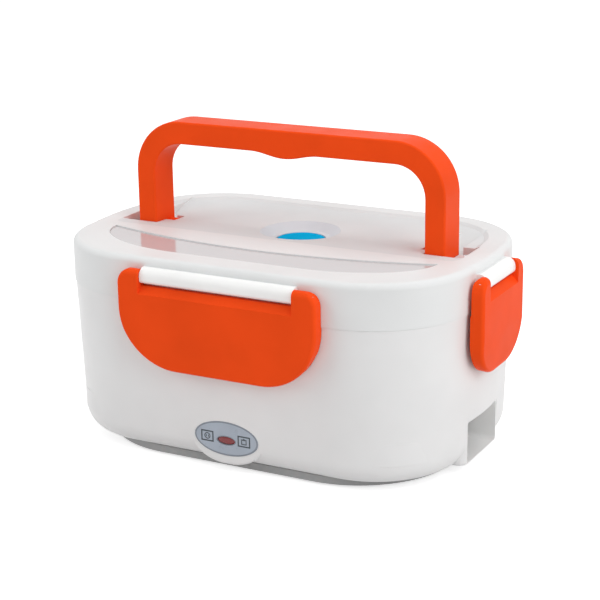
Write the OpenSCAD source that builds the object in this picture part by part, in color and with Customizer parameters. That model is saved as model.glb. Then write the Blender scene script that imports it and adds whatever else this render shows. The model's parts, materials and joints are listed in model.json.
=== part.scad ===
// Electric lunch box: a heated case, a lift-off lid held by four latches, a carrying handle,
// a steam vent and a spoon tray. Millimetres. +X runs along the box to the inlet side, +Y to
// the back and +Z up. The origin is the middle of the footprint, on the surface it stands on.

/* [Body] */
// Length of the lid's outline, left to right
lid_len = 228; // [216:1:246]
// Depth of the lid's outline, front to back
lid_dep = 150; // [144:1:162]
// Radius of the outline's corners
corner_r = 52; // [46:0.5:56]
// How far the short sides bow outwards
side_bow = 1.6; // [0.4:0.1:2.4]
// Height of the case, from its bottom edge to the parting line
case_h = 82; // [76:1:96]
// Wall of the case
case_wall = 2.4; // [2:0.1:3]
// How far the case narrows from its rim to its bottom edge
case_taper = 2.7; // [1:0.1:4]
// Width of the rounded bottom edge
edge_out = 10.5; // [9:0.5:14]
// Height of the rounded bottom edge
edge_up = 11.5; // [9:0.5:16]
// Step from the lid's side in to the case's side
rim_step = 0.5; // [0.2:0.1:1]
// Height of the electrical space under the deck
chamber_h = 23; // [22:0.5:26]
// Thickness of the deck that carries the food container
deck_t = 2.5; // [2:0.1:3]

/* [Base] */
// Thickness of the bottom cover
cover_t = 4; // [3:0.5:5]
// How far the bottom cover lies inside the lid's front and back
cover_inset = 10.5; // [10:0.5:12]
// How far the bottom cover lies inside the lid's ends
cover_end = 15; // [14:0.5:16]
// How far the feet stand out of the cover
foot_out = 1; // [0.6:0.1:2]
// Radius of a foot
foot_r = 7; // [5:0.5:9]

/* [Lid] */
// Height of the lid, from the parting line to its top
lid_h = 23; // [22:0.5:28]
// Wall of the lid's skirt
lid_wall = 2.4; // [2:0.1:3]
// Radius of the lid's top edge
lid_edge_r = 3.5; // [2:0.5:4.5]
// Width of the raised rim around the rear dish
rim_w = 12.5; // [10.5:0.5:13.5]
// Depth of the rear dish
dish_depth = 1.2; // [0.8:0.1:3]
// Place of the ridge's rear edge
ridge_y = -16.5; // [-17:0.5:-13]

/* [Handle] */
// Outer width of the handle
handle_w = 182.5; // [176:0.5:188]
// Height of the handle over the lid's top
handle_rise = 56; // [46:1:66]
// Width of a handle leg
leg_w = 11.2; // [9:0.1:13]
// Height of the handle's bar
bar_h = 12.2; // [9:0.1:14]
// Depth of the handle, front to back
handle_depth = 19.4; // [16:0.1:20]
// Place of the handle's middle, front to back
handle_y = 2.6; // [0:0.1:5]
// Outer radius of the handle's corners
handle_r = 28; // [20:0.5:32]
// How far the grip swells downwards
grip_drop = 2.8; // [1:0.1:5]
// Half length of the grip's swelling
grip_half = 20; // [12:0.5:30]
// Radius of the handle's pivot boss
boss_r = 5; // [4.5:0.1:5.5]
// Radius of the handle's pivot pins
handle_pin_r = 2; // [1.5:0.1:2.4]

/* [Latches] */
// Width of the front and back latches
long_latch_w = 113; // [100:0.5:118]
// Width of the left and right latches
short_latch_w = 55; // [50:0.5:58]
// Length of a latch below its pivot
latch_drop = 48.7; // [44:0.1:54]
// Radius of a latch's hinge barrel
barrel_r = 3.3; // [3.1:0.1:3.8]
// Bottom corner radius of the front and back latches
long_latch_r = 32; // [22:0.5:36]
// Bottom corner radius of the left and right latches
short_latch_r = 20; // [14:0.5:22]
// Width of an ear of the front and back latches
long_ear_w = 12.6; // [9:0.1:15]
// Width of an ear of the left and right latches
short_ear_w = 8.5; // [7:0.1:10]
// Radius of the latch pins
latch_pin_r = 1.1; // [0.9:0.05:1.3]
// Thickness of a latch's face
latch_plate = 2.4; // [2:0.1:3]

/* [Vent] */
// Place of the vent, front to back
vent_y = 11; // [9:0.5:14]
// Radius of the plug's head
plug_r = 13; // [10:0.5:14]
// Radius of the plug's stem
stem_r = 4.5; // [3:0.1:6]
// Radius of the well around the plug
well_r = 22; // [18:0.5:24]

/* [Spoon tray] */
// Half length of the tray's mouth
tray_half = 95; // [88:0.5:96]
// Place of the tray's front edge
tray_front = -59.5; // [-61:0.5:-57]
// Place of the tray's rear edge at its middle
tray_back = -38.2; // [-40:0.1:-35]
// Place of the tray's tips, front to back
tray_tip = -23.8; // [-26:0.1:-22]
// Depth of the tray below the lid's top
tray_depth = 12.5; // [10:0.5:13]
// Thickness of the tray's cover
tray_cover_t = 1.8; // [1.2:0.1:2.4]

/* [Food containers] */
// Wall of the food container
tub_wall = 1.6; // [1.2:0.1:2.4]
// Length of the side dish cup
cup_len = 84; // [60:1:96]
// Depth of the side dish cup, front to back
cup_dep = 100; // [70:1:108]
// Height of the side dish cup
cup_h = 38; // [28:1:42]

/* [Heating and inlet] */
// Radius of the heating plate
plate_r = 42; // [38:0.5:48]
// Thickness of the heating plate above the deck
plate_t = 3.4; // [2.5:0.1:4]
// Half width of the inlet's recess
recess_half = 19; // [17:0.5:20]
// Height of the inlet's recess
recess_h = 21; // [20:0.5:22]
// Place of the inlet's face, from the middle of the box
inlet_x = 86; // [84:0.5:88]
// Place of the inlet housing's outer face, from the middle of the box
housing_x = 110; // [108:0.5:111]
// Half width of the badge
badge_half_w = 18.6; // [15:0.1:20]
// Half height of the badge
badge_half_h = 9.2; // [7:0.1:10]
// Height of the badge's middle
badge_z = 19; // [18:0.1:21]

/* [Hidden] */

// Clearances
fit = 0.3;          // loose pieces from what they sit in
run_fit = 0.06;     // a pin from its bore, on the radius
eps = 0.01;         // how far a cut runs past a face

// Steps of the curves
corner_n = 14;
bow_n = 6;
round_n = 6;
fine = 64;

// Heights
case_z = foot_out + cover_t;
part_z = case_z + case_h;
lid_top = part_z + lid_h;
deck_z = case_z + chamber_h;
deck_top = deck_z + deck_t;
dish_z = lid_top - dish_depth;

// Outline of the body
corner_x = lid_len / 2 - side_bow - corner_r;
corner_y = lid_dep / 2 - corner_r;

// Case: inner step that the food container hangs on
ledge_t = 2;
ledge_w = 2.6;
flange_t = 1.5;
flange_gap = 0.5;
ledge_top = part_z - 3.5;
land_w = 6;         // flat edge under the case that carries the bottom cover
cover_round = 2;    // the cover's corners from the body's, on the radius

// Lid: skin, liner and gasket
skin_t = 2.3;
cavity_top = dish_z - skin_t;
liner_t = 1.8;
liner_z = part_z + 1;
gasket_w = 4.5;

// Latches and their lugs
pivot_off = barrel_r + fit;
latch_z = lid_top - barrel_r - 5;
lug_half_h = 4;
lug_out = 1.7;
pin_in_lug = 8;
ear_cap = 1.6;
long_pivot = lid_dep / 2 + pivot_off;
short_pivot = lid_len / 2 + pivot_off;
latch_back = pivot_off + rim_step - fit;    // clear of the case while the lid rises
keeper_drop = 19.7;
keeper_h = 3;
keeper_out = 2;

// Handle and its pivot
handle_top = lid_top + handle_rise;
pivot_y = handle_y + handle_depth / 2 - boss_r;
pivot_z = lid_top - 6;
leg_in = handle_w / 2 - leg_w;
boss_len = 5.5;
boss_step = 0.1;    // the boss from the leg's round foot, on the radius
leg_gap = 0.8;
boss_gap = 0.6;
well_gap = 0.9;
fold_max = 74;
slot_wall = 4.2;
slot_w = 5;
slot_half = 8;

// Spoon tray
tray_ledge = 2;
tray_wall = 1.8;
tray_flat = 35;
cover_drop = 0.6;
tray_floor = lid_top - tray_depth;
cover_seat = lid_top - cover_drop - tray_cover_t;

// Vent
plug_drop = 3.3;    // top of the plug under the dish
plug_top = dish_z - plug_drop;
plug_t = 2.4;
seat_z = plug_top - plug_t;
vent_boss_r = plug_r + 7;   // solid below the sloping well

// Base screws, clamp and inlet
screw_x = 66;
screw_y = 40;
post_r = 4.5;
screw_r = 1.7;
foot_x = 80;
foot_y = 30;
heater = [56, 22, 4];
plug_depth = 3.5;
clamp_x = 44;
clamp_t = 1.2;
recess_z = case_z + 2;
recess_mid = recess_z + recess_h / 2;
housing_r = 5;
inlet_body = [14, 27, 20];
inlet_flange = [1.6, 37.4, 20.4];
inlet_screw_y = 16;
housing_back = inlet_x - 8;
blade_len = 6;

// ---------------------------------------------------------------- shapes

function arc(cx, cy, r, a0, a1, n) =
    [for (i = [0:n]) [cx + r * cos(a0 + (a1 - a0) * i / n), cy + r * sin(a0 + (a1 - a0) * i / n)]];

// The body's outline, moved inwards by d
function side_points(d, s) =
    [for (i = [1:bow_n - 1]) let (y = s * corner_y * (2 * i / bow_n - 1))
        [s * (lid_len / 2 - d - side_bow * pow(y / corner_y, 2)), y]];
function outline(d) = concat(
    arc(corner_x, -corner_y, corner_r - d, -90, 0, corner_n), side_points(d, 1),
    arc(corner_x, corner_y, corner_r - d, 0, 90, corner_n),
    arc(-corner_x, corner_y, corner_r - d, 90, 180, corner_n), side_points(d, -1),
    arc(-corner_x, -corner_y, corner_r - d, 180, 270, corner_n));

// A solid through rings of points; a looped one closes on its first ring instead of with caps
module skin(rings, looped = false) {
    n = len(rings[0]);
    m = len(rings);
    last = looped ? m - 1 : m - 2;
    sides = [for (k = [0:last], i = [0:n - 1])
        let (a = k * n, b = ((k + 1) % m) * n, j = (i + 1) % n) [a + i, b + i, b + j, a + j]];
    caps = looped ? [] : [[for (i = [0:n - 1]) i], [for (i = [n - 1:-1:0]) (m - 1) * n + i]];
    polyhedron([for (r = rings) each r], concat(sides, caps), convexity = 8);
}

// Rings of the body's outline: each level is [how far inwards, height]
function body_rings(levels) =
    [for (l = levels) [for (p = outline(l[0])) [p[0], p[1], l[1]]]];
module body_skin(levels, looped = false) { skin(body_rings(levels), looped); }

module body_plate(d, z, t) {
    translate([0, 0, z]) linear_extrude(t) polygon(outline(d));
}

// A profile drawn in Y and Z, run along X
module run_x(length, points) {
    rotate([90, 0, 90]) linear_extrude(length, center = true) polygon(points);
}

// A profile drawn in X and Z, run along Y from y0 to y1
module run_y(y0, y1, points) {
    translate([0, y1, 0]) rotate([90, 0, 0]) linear_extrude(y1 - y0) polygon(points);
}

module rod_x(x0, x1, r) { translate([x0, 0, 0]) rotate([0, 90, 0]) cylinder(h = x1 - x0, r = r, $fn = fine); }

module both_sides() {
    children();
    mirror([1, 0, 0]) children();
}

// Leaves its children alone for s = 1 and mirrors them for s = -1
module flip_x(s) { mirror([s < 0 ? 1 : 0, 0, 0]) children(); }

module four_corners(x, y) {
    for (sx = [-1, 1], sy = [-1, 1]) translate([sx * x, sy * y, 0]) children();
}

// Puts a latch or its lug on the front, right, back or left
module on_front() { translate([0, -long_pivot, latch_z]) children(); }
module on_back() { rotate([0, 0, 180]) on_front() children(); }
module on_right() { translate([short_pivot, 0, latch_z]) rotate([0, 0, 90]) children(); }
module on_left() { rotate([0, 0, 180]) on_right() children(); }

// A screw with its head's underside at the origin and its shank up +Z
module screw(length, r, head_r, head_t) {
    cylinder(h = length, r = r, $fn = fine);
    difference() {
        translate([0, 0, -head_t]) cylinder(h = head_t, r = head_r, $fn = fine);
        for (a = [0, 90]) rotate([0, 0, a])
            translate([-head_r * 0.6, -0.4, -head_t - eps]) cube([head_r * 1.2, 0.8, head_t * 0.6]);
    }
}

// ---------------------------------------------------------------- case

// How far the case's side lies inside the lid's outline at a height
function side_in(z) = rim_step + case_taper * (part_z - z) / case_h;

function case_outside() =
    [for (i = [0:round_n]) let (t = 90 * (1 - i / round_n), z = case_z + edge_up * (1 - sin(t)))
        [side_in(z) + edge_out * (1 - cos(t)), z]];
function case_inside() =
    [for (i = [round_n:-1:0])
        let (t = 90 * (1 - i / round_n),
            z = case_z + case_wall + (edge_up - case_wall) * (1 - sin(t)))
        [side_in(z) + case_wall + (edge_out - case_wall) * (1 - cos(t)), z]];
function case_land() = side_in(case_z) + edge_out + land_w;

// Badge and its boss: upright ovals; the boss stands out of the rounded edge
badge_y = -(lid_dep / 2 - side_in(badge_z));
boss_side = 1.9;    // the boss beyond the badge at its sides
boss_up = 3.1;      // and above and below it
boss_drop = 1.9;    // middle of the boss under the badge's middle
boss_back = 8;      // depth of the boss,
boss_foot = 12;     // and its depth where it meets the bottom edge
module upright_oval(half_w, half_h, z, depth) {
    pts = [for (a = [0:360 / fine:359]) [half_w * cos(a), half_h * sin(a)]];
    translate([0, 0, z]) rotate([90, 0, 0]) linear_extrude(depth) polygon(pts);
}
module badge_oval(grow, depth) {
    upright_oval(badge_half_w + grow, badge_half_h + grow, badge_z, depth);
}
// The boss from its face back by some depth, between the case's bottom and a height above it
module badge_boss(depth, height) {
    intersection() {
        translate([0, badge_y + depth, 0]) upright_oval(badge_half_w + boss_side,
            badge_half_h + boss_up, badge_z - boss_drop, depth);
        translate([-lid_len, -lid_dep, case_z]) cube([2 * lid_len, lid_dep, height]);
    }
}

// Body of the inlet's housing, grown sideways by w
module housing_block(w, x0, z0, z1) {
    r = housing_r;
    y = recess_half + w;
    pts = concat([[x0, -y]], arc(housing_x - r, -y + r, r, -90, 0, 8),
        arc(housing_x - r, y - r, r, 0, 90, 8), [[x0, y]]);
    translate([0, 0, z0]) linear_extrude(z1 - z0) polygon(pts);
}

module keeper(w, ear_w) {
    half = w / 2 - ear_w - 3;
    translate([-half, pivot_off - keeper_out, -keeper_drop - keeper_h])
        cube([2 * half, keeper_out + rim_step + case_wall, keeper_h]);
}

module outer_case() {
    color("whitesmoke") difference() {
        union() {
            body_skin(concat(case_outside(),
                [[rim_step, part_z], [rim_step + case_wall, part_z]], case_inside(),
                [[case_land(), case_z + case_wall], [case_land(), case_z]]), true);
            body_plate(side_in(deck_z) + case_wall / 2, deck_z, deck_t);
            difference() {
                body_plate(rim_step + case_wall / 2, ledge_top - ledge_t, ledge_t);
                body_plate(rim_step + case_wall + ledge_w, ledge_top - ledge_t - eps,
                    ledge_t + 2 * eps);
            }
            on_front() keeper(long_latch_w, long_ear_w);
            on_back() keeper(long_latch_w, long_ear_w);
            on_right() keeper(short_latch_w, short_ear_w);
            on_left() keeper(short_latch_w, short_ear_w);
            badge_boss(boss_back, deck_z);
            badge_boss(boss_foot, case_wall);
            housing_block(4.5, housing_back, case_z, deck_z + eps);
            four_corners(screw_x, screw_y)
                translate([0, 0, case_z]) cylinder(h = chamber_h + eps, r = post_r, $fn = fine);
            for (s = [-1, 1]) translate([s * clamp_x, 0, deck_z - 5])
                cylinder(h = 5 + eps, r = 4, $fn = fine);
        }
        // recess of the inlet
        translate([inlet_x, -recess_half, recess_z])
            cube([lid_len, 2 * recess_half, recess_h]);
        // seat of the inlet behind the recess
        translate([inlet_x - inlet_body[0], -inlet_body[1] / 2 - run_fit,
            recess_mid - inlet_body[2] / 2 - run_fit])
            cube([inlet_body[0] + eps, inlet_body[1] + 2 * run_fit, inlet_body[2] + 2 * run_fit]);
        for (s = [-1, 1]) translate([inlet_x - 6, s * inlet_screw_y, recess_mid])
            rod_x(0, 6 + eps, 1.1);
        // flat panel above the housing, cut into the side wall
        translate([housing_x, -recess_half - 1, case_z - eps])
            cube([lid_len, 2 * recess_half + 2, recess_z + recess_h - case_z + eps]);
        // window of the heating plate
        translate([0, 0, deck_z - eps])
            cylinder(h = deck_t + 2 * eps, r = plate_r - 4, $fn = 96);
        // bores of the base screws and of the clamp screws
        four_corners(screw_x, screw_y)
            translate([0, 0, case_z - eps]) cylinder(h = 14, r = screw_r, $fn = fine);
        for (s = [-1, 1]) translate([s * clamp_x, 0, deck_z - 5 - eps])
            cylinder(h = 5.5, r = screw_r, $fn = fine);
        // recess of the badge and hole of the indicator
        translate([0, badge_y + 0.6, 0]) badge_oval(0.05, 5);
        translate([0, badge_y + 12, badge_z - 1]) rotate([90, 0, 0])
            linear_extrude(20) indicator_oval(0);
    }
}

module indicator_oval(grow) {
    pts = [for (a = [0:360 / 48:359]) [(5.2 + grow) * cos(a), (2.1 + grow) * sin(a)]];
    polygon(pts);
}

module cover_outline() {
    r = corner_r + cover_round;
    x = lid_len / 2 - cover_end - r;
    y = lid_dep / 2 - cover_inset - r;
    hull() for (sx = [-1, 1], sy = [-1, 1]) translate([sx * x, sy * y]) circle(r, $fn = 120);
}

module bottom_cover() {
    color("darkgray") difference() {
        translate([0, 0, foot_out]) linear_extrude(cover_t) cover_outline();
        four_corners(screw_x, screw_y) {
            cylinder(h = case_z + eps, r = screw_r + 0.2, $fn = fine);
            cylinder(h = foot_out + 2, r = 3.4, $fn = fine);
        }
        four_corners(foot_x, foot_y)
            cylinder(h = foot_out + 1.2, r = foot_r, $fn = fine);
        for (x = [-3:3]) translate([x * 12 - 1.5, -16, 0]) cube([3, 32, case_z + eps]);
    }
}

module cover_screws() {
    color("silver") four_corners(screw_x, screw_y)
        translate([0, 0, foot_out + 2]) screw(cover_t + 8, screw_r, 3.2, 1.6);
}

module feet() {
    color("dimgray") four_corners(foot_x, foot_y)
        cylinder(h = foot_out + 1.2, r = foot_r, $fn = fine);
}

// ---------------------------------------------------------------- heating

module heating_plate() {
    color("lightgray") difference() {
        union() {
            translate([0, 0, deck_top]) cylinder(h = plate_t, r = plate_r, $fn = 96);
            translate([0, 0, deck_top - plug_depth])
                cylinder(h = plug_depth + eps, r = plate_r - 5, $fn = 96);
        }
        difference() {
            translate([0, 0, deck_top - eps]) cylinder(h = 0.8, r = plate_r - 1.2, $fn = 96);
            translate([0, 0, deck_top - 1]) cylinder(h = 3, r = plate_r - 3, $fn = 96);
        }
    }
}

module plate_seal() {
    color("white") difference() {
        translate([0, 0, deck_top]) cylinder(h = 0.75, r = plate_r - 1.3, $fn = 96);
        translate([0, 0, deck_top - eps]) cylinder(h = 1, r = plate_r - 2.9, $fn = 96);
    }
}

module heater_element() {
    color("ivory") translate([-heater[0] / 2, -heater[1] / 2, deck_top - plug_depth - heater[2]])
        cube(heater);
}

module heater_clamp() {
    z = deck_top - plug_depth - heater[2];
    color("silver") difference() {
        union() {
            translate([-clamp_x - 6, -7, z - clamp_t]) cube([2 * clamp_x + 12, 14, clamp_t]);
            for (s = [-1, 1]) translate([s * clamp_x, 0, z - clamp_t])
                cylinder(h = clamp_t, r = 7.5, $fn = fine);
        }
        for (s = [-1, 1]) translate([s * clamp_x, 0, z - 2 * clamp_t])
            cylinder(h = 3 * clamp_t, r = screw_r + 0.2, $fn = fine);
    }
}

module clamp_screws() {
    z = deck_top - plug_depth - heater[2] - clamp_t;
    color("silver") for (s = [-1, 1]) translate([s * clamp_x, 0, z])
        screw(deck_z - z - 0.6, screw_r, 3.2, 1.6);
}

module thermal_cutout() {
    z = deck_top - plug_depth;
    color("dimgray") translate([0, cutout_y, 0]) {
        translate([0, 0, z - 5]) cylinder(h = 5, r = 8, $fn = fine);
        for (s = [-1, 1]) translate([s * 4 - 1.5, -0.4, z - 9]) cube([3, 0.8, 4 + eps]);
    }
}

// ---------------------------------------------------------------- wires

function mix(a, b, t) = a * (1 - t) + b * t;
function bezier(p, t) = let (a = mix(p[0], p[1], t), b = mix(p[1], p[2], t), c = mix(p[2], p[3], t))
    mix(mix(a, b, t), mix(b, c, t), t);
function unit(v) = v / norm(v);

// A wire along a curve with four control points
module wire(p, r) {
    steps = 16;
    sides = 8;
    curve = [for (i = [0:steps]) bezier(p, i / steps)];
    rings = [for (i = [0:steps])
        let (dir = unit(curve[min(i + 1, steps)] - curve[max(i - 1, 0)]),
            u = unit(cross(dir, [0, 0, 1])), v = cross(u, dir))
        [for (k = [0:sides - 1]) curve[i] + r * (cos(45 * k) * u + sin(45 * k) * v)]];
    skin(rings);
}

wire_r = 1.1;
term_x = inlet_x - inlet_body[0];
blade_z = recess_mid - 3;
tab_z = deck_top - plug_depth - 8;
tab_side = 5.6;
cutout_y = 23;
heater_side = heater[1] / 2 + 0.2;
heater_mid = deck_top - plug_depth - heater[2] / 2;

module mains_wires() {
    x0 = term_x - blade_len;
    color("saddlebrown") wire([[x0, 7, blade_z], [x0 - 20, 7, blade_z],
        [24, cutout_y, tab_z], [tab_side, cutout_y, tab_z]], wire_r);
    color("steelblue") wire([[x0, -7, blade_z], [x0 - 20, -7, blade_z],
        [18, -24, heater_mid], [18, -heater_side, heater_mid]], wire_r);
    color("saddlebrown") wire([[-tab_side, cutout_y, tab_z], [-12, cutout_y, tab_z],
        [-18, 22, heater_mid], [-18, heater_side, heater_mid]], wire_r);
}

board_y = badge_y + 9;
board_w = 22;
module indicator_wires() {
    color("firebrick") for (z = [[17, 14], [21, 20]])
        wire([[board_w / 2, board_y + 0.8, z[0]], [40, board_y + 0.8, z[0]],
            [46, -12, z[1]], [term_x, -12, z[1]]], 0.8);
}

module indicator_board() {
    color("darkgreen") {
        translate([-board_w / 2, board_y, badge_z - 7]) cube([board_w, 1.6, 14]);
        for (s = [-1, 1]) translate([s * 8, board_y, badge_z - 1]) rotate([90, 0, 0])
            cylinder(h = 1.0, r = 1.6, $fn = 24);
    }
}

module indicator_lens() {
    color("darkred") translate([0, board_y, badge_z - 1]) rotate([90, 0, 0])
        linear_extrude(9 + 0.25) indicator_oval(-0.08);
}

module badge_plate() {
    color("lightsteelblue") difference() {
        translate([0, badge_y + 0.6, 0]) badge_oval(0, 0.8);
        translate([0, badge_y + 12, badge_z - 1]) rotate([90, 0, 0])
            linear_extrude(20) indicator_oval(0);
    }
}

// ---------------------------------------------------------------- inlet

module inlet_socket() {
    color("dimgray") difference() {
        union() {
            translate([term_x, -inlet_body[1] / 2, recess_mid - inlet_body[2] / 2]) cube(inlet_body);
            translate([inlet_x, -inlet_flange[1] / 2, recess_mid - inlet_flange[2] / 2])
                cube(inlet_flange);
            translate([inlet_x, 0, recess_mid]) shroud(13.5, 9, 10);
            for (y = [-7, 0, 7]) translate([term_x - blade_len, y - 1.5, blade_z - 0.4])
                cube([blade_len + eps, 3, 0.8]);
        }
        translate([inlet_x - 4, 0, recess_mid]) shroud(12, 7.5, 20);
        inlet_pins();
        for (s = [-1, 1]) translate([inlet_x - 1, s * inlet_screw_y, recess_mid])
            rod_x(0, inlet_flange[0] + 2, 1.1);
    }
}

// A shroud with two cut corners, open towards +X
module shroud(half_y, half_z, depth) {
    cut = 4;
    rotate([90, 0, 90]) linear_extrude(depth) polygon([[-half_y, -half_z], [half_y, -half_z],
        [half_y, half_z - cut], [half_y - cut, half_z], [-half_y + cut, half_z],
        [-half_y, half_z - cut]]);
}

module inlet_pins() {
    color("silver") for (p = [[-7, -1.5], [7, -1.5], [0, 2.5]])
        translate([inlet_x - 9, p[0] - 1, recess_mid + p[1] - 2]) cube([20, 2, 4]);
}

module inlet_screws() {
    color("silver") for (s = [-1, 1])
        translate([inlet_x + inlet_flange[0], s * inlet_screw_y, recess_mid])
            rotate([0, -90, 0]) screw(7, 1.1, 1.7, 1);
}

// ---------------------------------------------------------------- food containers

tub_in = rim_step + case_wall + ledge_w + 0.7;
tub_z = deck_top + plate_t + fit;
tub_floor_in = tub_in + 3.2;
tub_edge = 7;

module food_container() {
    top = ledge_top + flange_t;
    flange_in = rim_step + case_wall + flange_gap;
    outside = [for (i = [0:round_n]) let (t = 90 * (1 - i / round_n))
        [tub_floor_in + tub_edge * (1 - cos(t)), tub_z + tub_edge * (1 - sin(t))]];
    r = tub_edge - tub_wall;
    inside = [for (i = [round_n:-1:0]) let (t = 90 * (1 - i / round_n))
        [tub_floor_in + tub_wall + r * (1 - cos(t)), tub_z + tub_wall + r * (1 - sin(t))]];
    color("silver") body_skin(concat(outside, [[tub_in, ledge_top], [flange_in, ledge_top],
        [flange_in, top], [tub_in + tub_wall, top]], inside));
}

cup_x = lid_len / 2 - tub_floor_in - tub_wall - tub_edge - cup_len / 2 - 1;
cup_r = 16;
cup_wall = 1.6;
function cup_outline(d) = let (x = cup_len / 2 - cup_r, y = cup_dep / 2 - cup_r, r = cup_r - d)
    concat(arc(x, -y, r, -90, 0, 8), arc(x, y, r, 0, 90, 8), arc(-x, y, r, 90, 180, 8),
        arc(-x, -y, r, 180, 270, 8));

module side_dish_cup() {
    z = tub_z + tub_wall + fit;
    levels = [[6, z], [3.2, z + 1], [2, z + 4], [1, z + cup_h - 1.4], [0, z + cup_h - 1.4],
        [0, z + cup_h], [1 + cup_wall, z + cup_h], [2 + cup_wall, z + 4 + cup_wall],
        [3.2 + cup_wall, z + 1.2 + cup_wall], [6, z + cup_wall]];
    color("orangered") translate([cup_x, 0, 0])
        skin([for (l = levels) [for (p = cup_outline(l[0])) [p[0], p[1], l[1]]]]);
}

// ---------------------------------------------------------------- lid

// The tray's crescent mouth, moved inwards by d
leaf_half = tray_half - tray_flat;
leaf_dep = tray_tip + 0.8 - tray_front;
back_rise = tray_tip - tray_back;
back_r = (tray_half * tray_half + back_rise * back_rise) / (2 * back_rise);
function leaf_front(d) = let (a0 = asin((0.8 + d) / (leaf_dep - d)), n = 20)
    [for (i = [0:n]) let (a = a0 + (90 - a0) * i / n)
        [tray_flat + (leaf_half - d) * cos(a), tray_tip + 0.8 - (leaf_dep - d) * sin(a)]];
function leaf(d) = let (f = leaf_front(d), n = 24, x1 = f[0][0] - 1.2)
    concat([for (i = [len(f) - 1:-1:0]) f[i]],
        [for (i = [0:n]) let (x = x1 * (1 - 2 * i / n))
            [x, tray_back + back_r - sqrt(pow(back_r + d, 2) - x * x)]],
        [for (i = [0:len(f) - 1]) [-f[i][0], f[i][1]]]);

module leaf_plate(d, z, t) { translate([0, 0, z]) linear_extrude(t) polygon(leaf(d)); }

// Side view of the space that a handle leg turns in, grown by g
function leg_well(g) = let (r = boss_r + g, a1 = -fold_max, c = cos(90 - fold_max),
        s = sin(90 - fold_max), y1 = pivot_y + r * cos(a1), z1 = pivot_z + r * sin(a1),
        run = (lid_top + 1 - z1) / s, y0 = handle_y - handle_depth / 2 - g)
    concat([[y0, lid_top + 1], [y0, pivot_z - g]], arc(pivot_y, pivot_z, r, -125, a1, 6),
        [[y1 + run * c, lid_top + 1]]);

module lid_lug(w, ear_w) {
    half = w / 2 - ear_w - fit;
    c = 1.2;
    h = lug_half_h;
    difference() {
        run_x(2 * half, [[pivot_off + 1.7, -h], [-lug_out + c, -h], [-lug_out, -h + c],
            [-lug_out, h - c], [-lug_out + c, h], [pivot_off + 1.7, h]]);
        for (s = [-1, 1]) flip_x(s) rod_x(half - pin_in_lug, half + 1, latch_pin_r);
    }
}

post_points = [[88, 26], [60, 52], [-60, 52], [-88, 26], [-60, -64], [60, -64]];

module lid_shell() {
    outside = concat([[0, part_z]], [for (i = [0:round_n]) let (t = 90 * i / round_n)
        [lid_edge_r * (1 - cos(t)), lid_top - lid_edge_r * (1 - sin(t))]]);
    well_x0 = leg_in - boss_len - 4.5;
    color("white") difference() {
        union() {
            difference() {
                body_skin(outside);
                body_skin([[lid_wall, part_z - eps], [lid_wall, cavity_top - 3],
                    [lid_wall + 3, cavity_top]]);
            }
            leaf_plate(-tray_wall, tray_floor - tray_wall, lid_top - 1 - tray_floor);
            intersection() {
                body_plate(lid_wall / 2, liner_z + liner_t, cavity_top + 1 - liner_z - liner_t);
                both_sides() {
                    translate([(leg_in + handle_w / 2) / 2, 0, 0])
                        run_x(leg_w + 2 * leg_gap + 4, leg_well(well_gap + 2.2));
                    translate([well_x0 + 12, 0, 0]) run_x(24, [[pivot_y - boss_r - 3, lid_top],
                        [pivot_y - boss_r - 3, pivot_z - boss_r - 3],
                        [pivot_y + boss_r + 3, pivot_z - boss_r - 3],
                        [pivot_y + boss_r + 3, lid_top]]);
                    translate([handle_w / 2 + leg_gap, pivot_y - slot_half - 2,
                        pivot_z - 5.5])
                        cube([slot_wall + slot_w + 2, 2 * slot_half + 4, 8]);
                }
            }
            translate([0, vent_y, liner_z + liner_t])
                cylinder(h = cavity_top + 1 - liner_z - liner_t, r = vent_boss_r, $fn = 96);
            for (p = post_points) translate([p[0], p[1], liner_z + liner_t])
                cylinder(h = cavity_top + 1 - liner_z - liner_t, r = 3.6, $fn = 32);
            on_front() lid_lug(long_latch_w, long_ear_w);
            on_back() lid_lug(long_latch_w, long_ear_w);
            on_right() lid_lug(short_latch_w, short_ear_w);
            on_left() lid_lug(short_latch_w, short_ear_w);
        }
        // rear dish
        intersection() {
            body_skin([[rim_w + dish_depth, dish_z], [rim_w, lid_top], [rim_w, lid_top + 1]]);
            translate([-lid_len, ridge_y, dish_z - 1]) cube([2 * lid_len, lid_dep, 6]);
        }
        // spoon tray and the seat of its cover
        leaf_plate(0, cover_seat, 5);
        leaf_plate(tray_ledge, tray_floor, lid_top);
        // wells of the handle's legs and bosses, and the slots beside them
        both_sides() {
            translate([(leg_in + handle_w / 2) / 2, 0, 0])
                run_x(leg_w + 2 * leg_gap, leg_well(well_gap));
            translate([leg_in - boss_len - 0.5, 0, 0]) {
                translate([0, pivot_y, pivot_z]) rod_x(0, boss_len + 1, boss_r + boss_gap);
                translate([0, pivot_y - boss_r - boss_gap, pivot_z])
                    cube([boss_len + 1, 2 * (boss_r + boss_gap), 20]);
            }
            translate([handle_w / 2 + leg_gap + slot_wall, pivot_y - slot_half, pivot_z - 3.5])
                cube([slot_w, 2 * slot_half, 20]);
            translate([0, pivot_y, pivot_z])
                rod_x(leg_in - boss_len - 3.5, handle_w / 2 + 10, handle_pin_r);
        }
        // vent: well, seat and passage
        translate([0, vent_y, 0]) {
            translate([0, 0, plug_top - 0.4])
                cylinder(h = dish_z - plug_top + 0.41, r1 = plug_r + 1, r2 = well_r, $fn = 96);
            translate([0, 0, seat_z]) cylinder(h = 8, r = plug_r + 0.5, $fn = 96);
            translate([0, 0, liner_z]) cylinder(h = lid_h, r = stem_r + fit, $fn = fine);
        }
        for (p = post_points) translate([p[0], p[1], liner_z])
            cylinder(h = 10, r = 1.3, $fn = 32);
    }
}

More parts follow.
